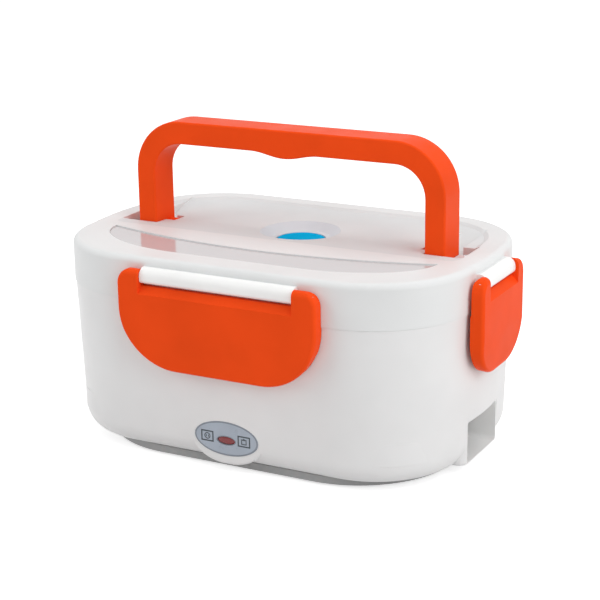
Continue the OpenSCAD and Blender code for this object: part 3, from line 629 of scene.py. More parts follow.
def turned_metal(name, colour, roughness, pitch=0.5 * MM, depth=0.01 * MM):
    """Aluminium turned on a lathe: fine rings about the middle."""
    made = Nodes(name, colour, roughness, metallic=1.0)
    rings = made.add("ShaderNodeTexWave", links=(("Vector", made.place),),
                     values=(("Scale", 1 / (pitch * WAVES)), ("Distortion", 0.3), ("Detail", 2.0)),
                     wave_type="RINGS", rings_direction="Z").outputs["Fac"]
    made.spread(rings, colour, 0.04)
    made.wear(rings, roughness, 0.85, 1.2)
    made.bump(rings, depth, strength=0.5)
    return made.material


def rubbery(name, colour, roughness=0.6, grain=0.5 * MM, depth=0.012 * MM, sheen=0.25,
            specular=0.5):
    """Silicone or rubber: a soft sheen over a fine matt grain."""
    made = Nodes(name, colour, roughness, specular=specular)
    made.even(("Sheen Weight", sheen), ("Sheen Roughness", 0.4))
    cloudy = made.noise(9 * MM)
    made.spread(cloudy, colour, 0.05)
    made.wear(cloudy, roughness, 0.9, 1.1)
    made.bump(made.noise(grain, detail=2.0), depth)
    return made.material


def make_paints(finish):
    """Every finish on the box, by the name it goes by here."""
    return {
        "case": moulded("White case plastic", finish.case, 0.42, specular=0.3),
        "lid": moulded("White lid plastic", finish.lid, 0.45, depth=0.003 * MM,
                       specular=0.25),
        # A lighter white: a painted highlight on the lugs, and painted light against the shade in
        # the inlet's recess.
        "polished": moulded("Smooth white plastic", finish.polished, 0.35, specular=0.3),
        # Darker and bluer than the lid: painted shade with a painted blue reflection of the plug.
        "well": moulded("Vent well plastic", finish.well, 0.5, specular=0.2),
        "dish": moulded("Fine grained lid plastic", finish.dish, 0.6, depth=0.008 * MM,
                        specular=0.2),
        "orange": moulded("Orange plastic", finish.orange, 0.34, mottle=0.05,
                          specular=0.03, tint=(1.0, 0.5, 0.12)),
        "cover": moulded("Clear grey plastic", finish.cover, 0.12, grain=1.2 * MM,
                         depth=0.001 * MM, coat=0.25, coat_roughness=0.04),
        "base": moulded("Grey grained plastic", finish.base, 0.55, grain=0.6 * MM,
                        depth=0.02 * MM),
        "dark": moulded("Dark plastic", (0.045, 0.045, 0.05), 0.5, depth=0.012 * MM),
        "blue": rubbery("Blue silicone", finish.blue, roughness=0.5, sheen=0.0,
                        specular=0.0),
        "seal": rubbery("White silicone", (0.72, 0.72, 0.71)),
        "foot": rubbery("Foot rubber", (0.10, 0.10, 0.10), roughness=0.8),
        "badge": moulded("Badge film", finish.badge, 0.30, grain=0.25 * MM, depth=0.002 * MM,
                         flow=4 * MM, mottle=0.04),
        "badge_edge": moulded("Badge edge", shade(finish.badge, 0.55), 0.3, flow=4 * MM),
        "ink": moulded("Dark ink", (0.045, 0.06, 0.07), 0.5, flow=2 * MM, depth=0.001 * MM),
        "lens": moulded("Red lens", finish.lens, 0.14, coat=0.15, coat_roughness=0.05,
                        depth=0.001 * MM, flow=3 * MM),
        "steel": brushed("Brushed steel", (0.62, 0.62, 0.63), 0.28),
        "screw": brushed("Screw steel", (0.55, 0.55, 0.56), 0.3, grain=0.2 * MM),
        "turned": turned_metal("Turned aluminium", (0.70, 0.70, 0.71), 0.32),
        "ceramic": moulded("Fired ceramic", (0.78, 0.74, 0.64), 0.7, depth=0.02 * MM),
        "board": moulded("Board lacquer", (0.015, 0.13, 0.05), 0.35, flow=5 * MM),
        "brown": moulded("Brown insulation", (0.16, 0.06, 0.02), 0.5),
        "red": moulded("Red insulation", (0.45, 0.02, 0.02), 0.5),
    }


# ------------------------------------------------------------------ case

EDGE_STEPS = 10
BOTTOM_LAND = 6 * MM
MOUTH_EDGE = 0.35 * MM
LEDGE_TOP = 83.5 * MM
LEDGE_IN = 5.5 * MM
LEDGE_WALL = 2 * MM
LEDGE_ROOT = 0.25 * MM
PLATE_WINDOW = 38 * MM
HOUSING_IN = 78 * MM
HOUSING_OUT = 110 * MM
HOUSING_HALF = 23.5 * MM
HOUSING_CORNER = 5 * MM
HOUSING_FOOT = 0.9 * MM
RECESS_HALF = 19 * MM
RECESS_LOW = 5.3 * MM
RECESS_HIGH = 28 * MM
RECESS_BACK = 86 * MM
RECESS_CORNER = 2.2 * MM
PANEL_CUT = 20 * MM
KEEPER_LOW = 79 * MM
KEEPER_HIGH = 82 * MM
KEEPER_OUT = 2 * MM
KEEPER_ROOT = 2.5 * MM
KEEPER_EDGE = 1.1 * MM
KEEPERS = ((80 * MM, 75 * MM, 0), (80 * MM, 75 * MM, 180),
           (32 * MM, 114 * MM, 90), (32 * MM, 114 * MM, -90))
BOSS_SINK = 0.2 * MM
BOSS_DEPTH = 12 * MM
BOSS_SHELF = 8 * MM
BADGE_PLAY = 0.05 * MM
LENS_PLAY = 0.1 * MM
LENS_THROUGH = 20 * MM


def make_case(shell, badge):
    """The white case: bowed sides, round bottom edge, boss of the badge and inlet housing."""
    top, bottom = LID_LOW.z, CASE_LOW.z
    edge_top = bottom + shell.edge_up
    edge_in = side_in(shell, edge_top)
    case = body_plate(shell, "case_body", shell.step, top, facing_up=False)
    with Editing(case) as edit:
        edit.all()
        outside = Levels(shell, shell.step, top, -1)
        outside.to(edge_in, edge_top)
        outside.quarter(shell.edge_out, -shell.edge_up, EDGE_STEPS)
        outside.to(outside.inward + BOTTOM_LAND, bottom)
        outside.to(outside.inward, bottom + shell.wall)
        outside.to(edge_in + shell.wall, edge_top)
        outside.to(edge_in + shell.wall, shell.deck - shell.deck_wall)
        open_top(edit, top)
        inside = Levels(shell, shell.step, top, 1)
        inside.to(shell.step + shell.wall, top)
        inside.to(shell.step + shell.wall, LEDGE_TOP)
        inside.to(LEDGE_IN, LEDGE_TOP)
        inside.to(LEDGE_IN, LEDGE_TOP - LEDGE_WALL)
        inside.to(shell.step + shell.wall + LEDGE_ROOT, LEDGE_TOP - LEDGE_WALL)
        inside.to(side_in(shell, shell.deck) + shell.wall, shell.deck)
    recalculate(case)
    weld(case, make_housing())
    for keeper in make_keepers():
        weld(case, keeper)
    weld(case, make_badge_boss(badge))
    cut(case, make_panel_tool())
    cut(case, make_recess_tool())
    cut(case, badge_oval("badge_seat", BADGE_PLAY, BADGE_LOW.y - PAST, BADGE_HIGH.y))
    cut(case, lens_oval("lens_hole", LENS_PLAY, BADGE_LOW.y - PAST, BADGE_HIGH.y + LENS_THROUGH))
    cut(case, drum("plate_window", PLATE_WINDOW, (0, 0, shell.deck - PAST),
                   (0, 0, shell.deck + PAST), sides=96))
    round_edges(case, MOUTH_EDGE, lambda a, b: above(top, a, b), segments=3)
    return smooth(heal(case, HAIR))


def make_housing():
    """The block that stands out of the rounded edge around the inlet."""
    housing = block("inlet_housing", (HOUSING_IN, -HOUSING_HALF, CASE_LOW.z),
                    (HOUSING_OUT, HOUSING_HALF, RECESS_HIGH))
    round_edges(housing, HOUSING_CORNER, lambda a, b: min(a.x, b.x) > HOUSING_OUT - HAIR
                and runs("z", a, b), segments=8)
    return round_edges(housing, HOUSING_FOOT, lambda a, b: below(CASE_LOW.z, a, b)
                       and max(a.x, b.x) > HOUSING_IN + HAIR)


def make_panel_tool():
    """What the case's side is cut flat with around the recess's mouth."""
    return block("panel_tool", (HOUSING_OUT, -RECESS_HALF - MM, 0),
                 (HOUSING_OUT + PANEL_CUT, RECESS_HALF + MM, RECESS_HIGH))


def make_recess_tool():
    """What the inlet's recess is cut with, with round corners."""
    tool = block("recess_tool", (RECESS_BACK, -RECESS_HALF, RECESS_LOW),
                 (HOUSING_OUT + 2 * PAST, RECESS_HALF, RECESS_HIGH))
    return round_edges(tool, RECESS_CORNER, lambda a, b: runs("x", a, b), segments=5)


def in_recess(points, normal):
    """1 for the inner faces of the inlet's recess, which get a lighter white as painted light
    against their shade, and 0 for the others.
    """
    return int(min(p.x for p in points) > RECESS_BACK - HAIR
               and max(abs(p.y) for p in points) < RECESS_HALF + HAIR
               and above(RECESS_LOW, *points) and below(RECESS_HIGH, *points)
               and abs(normal.x) < FACING)


def make_keepers():
    """The ribs that the latches snap over, one on each side of the case."""
    keepers = []
    for width, side, turn in KEEPERS:
        front = -side - KEEPER_OUT
        rib = block("keeper", (-width / 2, front, KEEPER_LOW),
                    (width / 2, -side + KEEPER_ROOT, KEEPER_HIGH))
        round_edges(rib, KEEPER_EDGE, lambda a, b: in_front(front, a, b))
        keepers.append(turned(rib, turn))
    return keepers


def badge_oval(name, grow, front, back):
    """An upright oval plate, larger than the badge by grow."""
    return upright_oval(name, (BADGE_HIGH.x - BADGE_LOW.x) / 2 + grow,
                        (BADGE_HIGH.z - BADGE_LOW.z) / 2 + grow, BADGE_MIDDLE, front, back)


def lens_oval(name, grow, front, back):
    """An upright oval plate, larger than the indicator's lens by grow."""
    return upright_oval(name, (LENS_HIGH.x - LENS_LOW.x) / 2 + grow,
                        (LENS_HIGH.z - LENS_LOW.z) / 2 + grow, LENS_MIDDLE, front, back, sides=64)


def make_badge_boss(badge):
    """The oval boss that carries the badge in front of the rounded edge."""
    front = BADGE_LOW.y + BOSS_SINK
    boss = upright_oval("badge_boss", BADGE_HIGH.x + badge.side,
                        (BADGE_HIGH.z - BADGE_LOW.z) / 2 + badge.above,
                        BADGE_MIDDLE - badge.drop, front, front + BOSS_DEPTH)
    cut(boss, boss_limit(front - PAST, CASE_LOW.z - 4 * PAST, CASE_LOW.z))
    cut(boss, boss_limit(front + BOSS_SHELF, CASE_LOW.z + 2 * MM, BADGE_HIGH.z + 2 * PAST))
    return round_edges(boss, badge.boss_edge, lambda a, b: in_front(front, a, b), segments=5)


def boss_limit(front, low, high):
    """What the badge's boss is cut off with, below the case and behind the boss's shelf."""
    return block("boss_limit", (2 * BADGE_LOW.x, front, low), (2 * BADGE_HIGH.x, 0, high))


# ------------------------------------------------------------------ lid

LID_EDGE_STEPS = 8
LID_CEILING = 95.7 * MM
DISH_Z = 108.8 * MM
DISH_EDGE = 1.5 * MM
DISH_CORNER = 4 * MM
DISH_FLAT = 2 * MM
DISH_SQUEEZE = 0.1
SLANT = 0.2
ZONE_PLAY = 2 * MM
ZONE_IN = 1.2 * MM
TRAY_FLOOR = 97.5 * MM
TRAY_LEDGE = 2 * MM
TRAY_HALF = 95 * MM
TRAY_FLAT = 35 * MM
TRAY_FRONT = -59.5 * MM
TRAY_BACK = -38.2 * MM
TRAY_TIP = -23.8 * MM
TRAY_TIP_IN = 0.8 * MM
COVER_GAP = 0.15 * MM
COVER_EDGE = 0.2 * MM
VENT_PASSAGE = 4.8 * MM
PLUG_SEAT = PLUG_HIGH.z - 2.4 * MM
PLUG_SIDE = 1.4 * MM
PLUG_EDGE = 0.6 * MM
PLUG_STEM = 4.5 * MM
DOME_STEPS = 8
LUG_OUT = 1.7 * MM
LUG_HALF = 4 * MM
LUG_ROOT = 1.5 * MM
LUG_PLAY = 0.3 * MM
LUG_ROUND = 4.5 * MM
LUG_FOOT = 2.2 * MM
FOLD = 74
TURN_RADIUS = 5 * MM
LEG_GAP = 0.8 * MM
WELL_GAP = 0.9 * MM
WELL_CORNER = 4.5 * MM
WELL_EDGE = 0.4 * MM
BOSS_GAP = 0.6 * MM
BOSS_PLAY = 0.5 * MM
POCKET_HALF = 8 * MM
PIN_WALL = 4.2 * MM
PIN_SLOT = 5 * MM


def make_lid(shell, handle, latch, vent):
    """The white lid: raised rim, ridge, rear dish, spoon tray, vent well, wells and lugs."""
    top, bottom = LID_HIGH.z, LID_LOW.z
    lid = body_plate(shell, "lid_body", 0, bottom)
    with Editing(lid) as edit:
        edit.all()
        outside = Levels(shell, 0, bottom, 1)
        outside.to(0, top - shell.lid_edge)
        outside.quarter(shell.lid_edge, shell.lid_edge, LID_EDGE_STEPS)
        open_top(edit, bottom)
        inside = Levels(shell, 0, bottom, -1)
        inside.to(shell.wall, bottom)
        inside.to(shell.wall, LID_CEILING)
    recalculate(lid)
    for turn, out, width, ear in (*long_sides(shell, latch), *short_sides(shell, latch)):
        weld(lid, make_lug(latch, width / 2 - ear, turn, out))
    cut(lid, make_dish_tool(shell))
    round_edges(lid, DISH_EDGE, lambda a, b: abs(a.z - b.z) < HAIR and above(DISH_Z, a, b)
                and min(a.y, b.y) > shell.ridge - MM, sharp=8, segments=5)
    cut(lid, crescent("tray_mouth", 0, COVER_LOW.z, top + OVER))
    round_edges(lid, COVER_EDGE, lambda a, b: above(top, a, b), segments=3)
    cut(lid, crescent("tray_hollow", TRAY_LEDGE, TRAY_FLOOR, top + OVER))
    cut_vent(lid, vent)
    for side in (-1, 1):
        for tool in (make_leg_well(handle), make_boss_pocket(handle), *make_outer_pockets(handle)):
            cut(lid, on_side(tool, side))
    round_edges(lid, WELL_EDGE, lambda a, b: above(DISH_Z, a, b), segments=2)
    return smooth(heal(lid, HAIR))


def long_sides(shell, latch):
    """Turn, distance from the middle, latch width and ear of the front and the back."""
    return [(turn, shell.depth / 2, latch.long_width, latch.long_ear) for turn in (0, 180)]


def short_sides(shell, latch):
    """Turn, distance from the middle, latch width and ear of the right and the left side."""
    return [(turn, shell.length / 2, latch.short_width, latch.short_ear) for turn in (90, -90)]


def make_lug(latch, gap, turn, out):
    """The white bar between a latch's ears, which holds the latch's pins."""
    half = gap - LUG_PLAY
    front = -out - latch.pivot_out - LUG_OUT
    lug = block("lug", (-half, front, latch.pivot_z - LUG_HALF),
                (half, -out + LUG_ROOT, latch.pivot_z + LUG_HALF))
    for width, at_edge, segments in ((LUG_ROUND, above, 10), (LUG_FOOT, below, 6)):
        round_edges(lug, width, lambda a, b: in_front(front, a, b) and runs("x", a, b)
                    and at_edge(latch.pivot_z, a, b), segments=segments)
    return turned(lug, turn)


def make_dish_tool(shell):
    """What the rear dish is cut with: the rim's outline, ended by the ridge, with sloping sides."""
    top = LID_HIGH.z + OVER
    floor = LID_HIGH.z - shell.dish
    level = shell.ridge + shell.dish_slope + DISH_FLAT
    tool = body_plate(shell, "dish_tool", shell.rim, top, facing_up=False)
    with Editing(tool, "VERT") as edit:
        edit.split((0, shell.ridge, 0), (0, 1, 0), clear_inner=True)
        edit.pick(lambda p, n: abs(p.y - shell.ridge) < HAIR)
        bpy.ops.mesh.bevel(offset=DISH_CORNER, segments=6, affect="VERTICES")
        bpy.ops.mesh.select_mode(type="FACE")
        edit.all()
        bpy.ops.mesh.extrude_region_move(
            TRANSFORM_OT_translate={"value": (0, 0, LID_HIGH.z - top)})
        bpy.ops.mesh.inset(thickness=shell.dish * 2, depth=shell.dish)
        edit.pick(lambda p, n: below(floor, p) and p.y < level)
        bpy.ops.transform.resize(value=(1, DISH_SQUEEZE, 1), center_override=(0, level, floor))
        edit.pick_edges(lambda a, b: above(top, a, b))
        bpy.ops.mesh.edge_face_add()
    return recalculate(tool)


def lid_zone(shell, vent, points, normal):
    """The paint of a face of the lid: 0 its body, 1 the dish, 2 the vent well in painted shade, 3 a
    lug with a painted highlight.
    """
    # Lugs: a lighter white as a painted highlight.
    if max(max(abs(p.x) - shell.length / 2, abs(p.y) - shell.depth / 2) for p in points) > MM:
        return 3
    middle = sum(points, Vector()) / len(points)
    if (min(p.z for p in points) < LID_CEILING or middle.z > LID_HIGH.z - 2 * HAIR
            or normal.z < SLANT):
        return 0
    # The vent well: painted shade with a painted blue reflection of the plug.
    if max(math.hypot(p.x, p.y - vent.place) for p in points) < vent.well + ZONE_PLAY:
        return 2
    if normal.z < FACING or min(p.y for p in points) < shell.ridge - HAIR:
        return 0
    across = max(abs(middle.x) - (shell.length / 2 - shell.bow - shell.corner), 0)
    along = max(abs(middle.y) - (shell.depth / 2 - shell.corner), 0)
    return int(math.hypot(across, along) < shell.corner - shell.rim + ZONE_IN)


def crescent(name, inward, low, high):
    """A solid with the spoon tray's outline, moved inwards: a flat oval less a large round."""
    tip = TRAY_TIP + TRAY_TIP_IN
    oval = drum(name, 1.0, (0, 0, low), (0, 0, high), sides=128)
    oval.scale = (TRAY_HALF - TRAY_FLAT - inward, tip - TRAY_FRONT - inward, 1)
    settle(oval)
    with Editing(oval, "VERT") as edit:
        for side in (-1, 1):
            edit.pick(lambda p, n: p.x * side > HAIR)
            bpy.ops.transform.translate(value=(side * TRAY_FLAT, 0, 0))
    oval.location = (0, tip, 0)
    settle(oval)
    rise = TRAY_TIP - TRAY_BACK
    radius = (TRAY_HALF ** 2 + rise ** 2) / (2 * rise)
    return cut(oval, drum("tray_back", radius + inward, (0, TRAY_BACK + radius, low - MM),
                          (0, TRAY_BACK + radius, high + MM), sides=512))


def cut_vent(lid, vent):
    """Cuts the flared dip round the vent, the seat of its plug and the steam's passage."""
    over = 2 * MM
    flare = (vent.well - vent.floor) / (DISH_Z - vent.dip)
    for name, radius, low, sides, tip in (
            ("vent_dip", vent.floor, vent.dip, 96, vent.well + flare * over),
            ("vent_seat", vent.seat, PLUG_SEAT, 96, None),
            ("vent_passage", VENT_PASSAGE, LID_LOW.z, 48, None)):
        cut(lid, drum(name, radius, (0, vent.place, low), (0, vent.place, DISH_Z + over),
                      sides=sides, tip=tip))


def make_leg_well(handle):
    """The well that a handle leg stands and turns in: an upright front and a ramp behind."""
    front = HANDLE_LOW.y - WELL_GAP
    top = LID_HIGH.z + MM
    radius = TURN_RADIUS + WELL_GAP
    low = handle.pivot_z - radius
    slope = math.radians(90 - FOLD)
    foot = Vector((0, handle.pivot_y + radius * math.sin(slope),
                   handle.pivot_z - radius * math.cos(slope)))
    well = block("leg_well", (HANDLE_HIGH.x - handle.leg - LEG_GAP, front, low),
                 (HANDLE_HIGH.x + LEG_GAP, foot.y + (top - foot.z) / math.tan(slope), top))
    with Editing(well) as edit:
        edit.split(foot, (0, math.sin(slope), -math.cos(slope)), use_fill=True, clear_outer=True)
    return round_edges(well, WELL_CORNER, lambda a, b: in_front(front, a, b) and below(low, a, b),
                       segments=5)


def make_boss_pocket(handle):
    """The pocket beside a leg well for the leg's pivot boss, open upwards."""
    x0 = HANDLE_HIGH.x - handle.leg - handle.boss_length - BOSS_PLAY
    x1 = x0 + handle.boss_length + 2 * BOSS_PLAY
    radius = TURN_RADIUS + BOSS_GAP
    pocket = drum("boss_pocket", radius, (x0, handle.pivot_y, handle.pivot_z),
                  (x1, handle.pivot_y, handle.pivot_z), axis="X", sides=48)
    return weld(pocket, block("boss_mouth", (x0, handle.pivot_y - radius, handle.pivot_z),
                              (x1, handle.pivot_y + radius, LID_HIGH.z + MM)))


def make_outer_pockets(handle):
    """The space outside a leg: the pin's slot, a shallow front and a deeper back."""
    beside, wall = HANDLE_HIGH.x + LEG_GAP / 2, HANDLE_HIGH.x + LEG_GAP + PIN_WALL
    back = handle.pivot_y + POCKET_HALF
    return [block(name, (start, front, handle.pivot_z + rise),
                  (wall + PIN_SLOT, back, LID_HIGH.z + MM))
            for name, start, front, rise in (
                ("pin_slot", wall, handle.pivot_y - POCKET_HALF, -3.5 * MM),
                ("shallow_pocket", beside, HANDLE_LOW.y - WELL_GAP, 2.3 * MM),
                ("deep_pocket", beside, handle.pivot_y + 2.3 * MM, -1.5 * MM))]


def make_cover():
    """The glossy crescent cover of the spoon tray, with a softly rounded rim."""
    cover = crescent("spoon_cover_plate", COVER_GAP, COVER_LOW.z, COVER_HIGH.z)
    round_edges(cover, COVER_EDGE, lambda a, b: above(COVER_HIGH.z, a, b))
    return smooth(cover)


def make_plug(vent):
    """The blue plug: a shallow dome with a rounded edge, on a stem."""
    side_top = PLUG_SEAT + PLUG_SIDE
    plug = drum("vent_plug_cap", PLUG_HIGH.x, (0, vent.place, PLUG_SEAT),
                (0, vent.place, side_top), sides=96)
    with Editing(plug) as edit:
        edit.pick(lambda p, n: n.z > FACING)
        rises = [1 - (1 - i / DOME_STEPS) ** 2 for i in range(DOME_STEPS)]
        for before, now in zip(rises, rises[1:]):
            bpy.ops.mesh.inset(thickness=PLUG_HIGH.x / (DOME_STEPS + 0.5),
                               depth=(PLUG_HIGH.z - side_top) * (now - before))
    round_edges(plug, PLUG_EDGE, lambda a, b: True, sharp=40)
    weld(plug, drum("plug_stem", PLUG_STEM, (0, vent.place, PLUG_LOW.z),
                    (0, vent.place, PLUG_SEAT + PLUG_SIDE / 2), sides=48))
    return smooth(plug)


# ------------------------------------------------------------------ handle

FOOT_ROUND = 4.9 * MM
FOOT_RISE = 5.5 * MM
FOOT_SLOPE = math.radians(21.7)
PIVOT_EDGE = 0.5 * MM
PIVOT_ROOT = 2 * MM
GRIP_CUTS = 79


def make_handle(handle):
    """The carrying handle: a bar with a swollen grip on two legs with pivot bosses."""
    half = HANDLE_HIGH.x
    front, back = HANDLE_LOW.y, HANDLE_HIGH.y
    top, foot = HANDLE_HIGH.z, HANDLE_LOW.z
    hoop = block("carry_handle_hoop", (-half, front, foot), (half, back, top))
    round_edges(hoop, handle.radius, lambda a, b: above(top, a, b) and runs("y", a, b),
                segments=20)
    cut(hoop, make_hoop_opening(handle))
    round_edges(hoop, FOOT_ROUND, lambda a, b: below(foot, a, b) and min(a.y, b.y) > back - HAIR,
                segments=8)
    with Editing(hoop) as edit:
        edit.split((0, front, foot + FOOT_RISE), (0, -math.sin(FOOT_SLOPE), -math.cos(FOOT_SLOPE)),
                   use_fill=True, clear_outer=True)
    soften(hoop, handle.edge, sharp=30, segments=4)
    for side in (-1, 1):
        inner = side * (half - handle.leg)
        boss = drum("pivot_boss", handle.boss,
                    (inner + side * PIVOT_ROOT, handle.pivot_y, handle.pivot_z),
                    (inner - side * handle.boss_length, handle.pivot_y, handle.pivot_z),
                    axis="X", sides=48)
        recalculate(boss)
        soften(boss, PIVOT_EDGE)
        weld(hoop, boss)
    return smooth(hoop)


def make_hoop_opening(handle):
    """What the handle's opening is cut with; its upper edge dips for the grip."""
    half = HANDLE_HIGH.x - handle.leg
    top = HANDLE_HIGH.z - handle.bar
    corner = handle.radius - handle.leg
    tool = block("hoop_opening", (-half, HANDLE_LOW.y - PAST, HANDLE_LOW.z - 2 * PAST),
                 (half, HANDLE_HIGH.y + PAST, top))
    round_edges(tool, corner, lambda a, b: above(top, a, b) and runs("y", a, b), segments=14)
    with Editing(tool, "VERT") as edit:
        edit.pick_edges(lambda a, b: above(top, a, b) and abs(a.x - b.x) > half)
        bpy.ops.mesh.subdivide(number_cuts=GRIP_CUTS)
        span = 2 * (half - corner) / (GRIP_CUTS + 1)
        count = int(handle.swell_half / span)
        for i in range(-count, count + 1):
            x = i * span
            edit.pick(lambda p, n: abs(p.x - x) < span / 4 and above(top, p))
            dip = handle.swell * (1 + math.cos(math.pi * x / handle.swell_half)) / 2
            bpy.ops.transform.translate(value=(0, 0, -dip))
    return tool


# ------------------------------------------------------------------ latches

LATCH_PLAY = 0.2 * MM
BLANK_DEEP = 4 * MM
PART_LINE = 0.4 * MM
GAP_SILL = 9.5 * MM
GAP_FRONT = 2 * MM
GAP_BACK = 12 * MM
GAP_TOP = 6 * MM
SILL_BACK = 0.4 * MM
SILL_LOW = 9 * MM
SILL_HIGH = 5.4 * MM
HOLLOW_WALL = 2.2 * MM
HOLLOW_TOP = 13 * MM
HOLLOW_DEEP = 9 * MM
BEAD_LOW = 25.8 * MM
BEAD_HIGH = 23 * MM
BEAD_IN = 2.3 * MM
BEAD_ROOT = 0.5 * MM
BEAD_END = 4 * MM
BEAD_EDGE = 0.8 * MM
LEAN_FROM = -28.7 * MM
LEAN_ANGLE = 4.36


def make_latch(latch, name, width, ear, corner):
    """A latch at its own pivot, facing -Y: a D-shaped face, two ears, a hollow back and a bead."""
    front = -latch.barrel
    limit = latch.pivot_out + LATCH_PLAY
    gap = width / 2 - ear
    piece = latch_blank(latch, name, width, corner, 0, front, limit + BLANK_DEEP)
    round_edges(piece, latch.edge, lambda a, b: in_front(front, a, b), segments=6)
    lean_back(piece, front)
    shared(piece, latch_side(latch, width, limit))
    cut(piece, latch_gap_tool(latch, gap))
    hollow = latch_blank(latch, "latch_hollow", width - 2 * HOLLOW_WALL, corner - HOLLOW_WALL,
                         HOLLOW_WALL, front + latch.plate, limit + HOLLOW_DEEP)
    lean_back(hollow, front)
    cut(piece, shared(hollow, block("hollow_limit", (-width, front - PAST, -latch.drop - PAST),
                                    (width, limit + 5 * PAST, -HOLLOW_TOP))))
    inner = latch.pivot_out - BEAD_IN
    bead = block("snap_bead", (-gap + BEAD_END, front + latch.plate - BEAD_ROOT, -BEAD_LOW),
                 (gap - BEAD_END, inner, -BEAD_HIGH))
    round_edges(bead, BEAD_EDGE, lambda a, b: min(a.y, b.y) > inner - HAIR)
    return weld(piece, bead)


def latch_side(latch, width, limit):
    """A latch's side view: a round barrel, a slim part on the lid and a thicker one below."""
    side = drum("latch_side", latch.barrel, (-width, 0, 0), (width, 0, 0), axis="X")
    part_line = LID_LOW.z - latch.pivot_z - PART_LINE
    face = -latch.barrel - PAST
    weld(side, block("latch_upper", (-width, face, part_line), (width, latch.barrel, 0)))
    return weld(side, block("latch_lower", (-width, face, -latch.drop - 2 * PAST),
                            (width, limit, part_line)))


def latch_blank(latch, name, width, corner, inward, front, back):
    """A thick plate with a latch's face: round upper corners and large round lower corners."""
    low, high = -latch.drop + inward, latch.barrel - inward
    blank = block(name, (-width / 2, front, low), (width / 2, back, high))
    round_edges(blank, latch.top_corner - inward,
                lambda a, b: above(high, a, b) and runs("y", a, b), segments=10)
    return round_edges(blank, corner, lambda a, b: below(low, a, b) and runs("y", a, b),
                       segments=20)


def lean_back(blank, front):
    """Turns the lower part of a latch's plate inwards a little, as the case narrows."""
    with Editing(blank, "VERT") as edit:
        edit.split((0, 0, LEAN_FROM), (0, 0, 1))
        edit.pick(lambda p, n: p.z < LEAN_FROM - HAIR)
        bpy.ops.transform.rotate(value=-math.radians(LEAN_ANGLE), orient_axis="X",
                                 center_override=(0, front, LEAN_FROM))


def latch_gap_tool(latch, gap):
    """What the gap between a latch's ears is cut with; its sill slopes up to the back."""
    back = latch.pivot_out + GAP_BACK
    tool = block("latch_gap", (-gap, -latch.barrel - GAP_FRONT, -GAP_SILL),
                 (gap, back, latch.barrel + GAP_TOP))
    with Editing(tool, "VERT") as edit:
        for place in (-latch.barrel, SILL_BACK):
            edit.split((0, place, 0), (0, 1, 0))
        for place, height in ((-latch.barrel, SILL_LOW), (SILL_BACK, SILL_HIGH), (back, SILL_HIGH)):
            edit.pick(lambda p, n: below(-GAP_SILL, p) and abs(p.y - place) < HAIR)
            bpy.ops.transform.translate(value=(0, 0, GAP_SILL - height))
    return recalculate(tool)


def put_latch(latch, piece, turn, out):
    """Moves a latch from its own pivot to its side of the lid."""
    heal(piece)
    piece.data.transform(Matrix.Translation((0, -out - latch.pivot_out, latch.pivot_z)))
    return smooth(turned(piece, turn), 32)


# ------------------------------------------------------------------ badge

INK = 0.06 * MM
INK_SINK = 0.3 * MM
FILM_EDGE = 0.25 * MM
FILM_PLAY = 0.15 * MM
RIM_IN = 0.15 * MM
FRAME_OUT = 0.55 * MM
FRAME_PLAY = 0.12 * MM
LENS_DOME = 0.6 * MM
LENS_STEPS = 8
SOCKET_X = -11.1 * MM
SOCKET_RADIUS = 1.75 * MM
SOCKET_LINE = 0.45 * MM
BLADE_X = 0.62 * MM
BLADE = (0.42 * MM, 1.25 * MM)
BOWL_X = 10.4 * MM
BOWL_LID = ((0.95 * MM, 3.3 * MM, 0.6 * MM), (1.42 * MM, 0.9 * MM, 0.5 * MM))
BOWL_WIDTH = 3.1 * MM
BOWL_HEIGHT = 2.1 * MM
BOWL_DOWN = 0.55 * MM
BOWL_WALL = 0.5 * MM


def make_badge():
    """The oval film of the badge, with a hole for the lens."""
    film = badge_oval("badge_film", 0, BADGE_LOW.y, BADGE_HIGH.y)
    round_edges(film, FILM_EDGE, lambda a, b: in_front(BADGE_LOW.y, a, b), segments=3)
    cut(film, lens_oval("film_hole", FILM_PLAY, BADGE_LOW.y - PAST, BADGE_HIGH.y + PAST))
    return smooth(film, 40)


def make_badge_rim(badge):
    """The darker rim along the badge's edge, barely proud of the film."""
    front = BADGE_LOW.y - INK
    rim = badge_oval("badge_rim", -RIM_IN, front, BADGE_LOW.y + INK_SINK)
    return cut(rim, badge_oval("rim_hole", -badge.rim, front - MM, BADGE_HIGH.y))


def make_lens_frame():
    """The dark ring around the indicator's lens."""
    front = BADGE_LOW.y - INK
    ring = lens_oval("lens_frame", FRAME_OUT, front, BADGE_LOW.y + INK_SINK)
    return cut(ring, lens_oval("lens_frame_hole", FRAME_PLAY, front - MM, BADGE_HIGH.y))


def make_lens():
    """The red lens, domed towards the front."""
    back = LENS_LOW.y + LENS_DOME
    lens = lens_oval("indicator_dome", 0, back, LENS_HIGH.y)
    turns = [math.pi / 2 * i / (LENS_STEPS + 1) for i in range(LENS_STEPS + 1)]
    with Editing(lens) as edit:
        edit.pick(lambda p, n: n.y < -FACING)
        for before, now in zip(turns, turns[1:]):
            out = LENS_DOME * (math.sin(now) - math.sin(before))
            share = math.cos(now) / math.cos(before)
            bpy.ops.mesh.extrude_region_move(TRANSFORM_OT_translate={"value": (0, -out, 0)})
            bpy.ops.transform.resize(value=(share, 1, share),
                                     center_override=(0, back, LENS_MIDDLE))
    return smooth(lens, 60)


def ink_bar(x, z, width, height):
    """A flat inked bar in front of the badge, about its middle."""
    return block("ink_bar", (x - width / 2, BADGE_LOW.y - INK, z - height / 2),
                 (x + width / 2, BADGE_LOW.y + INK_SINK, z + height / 2))


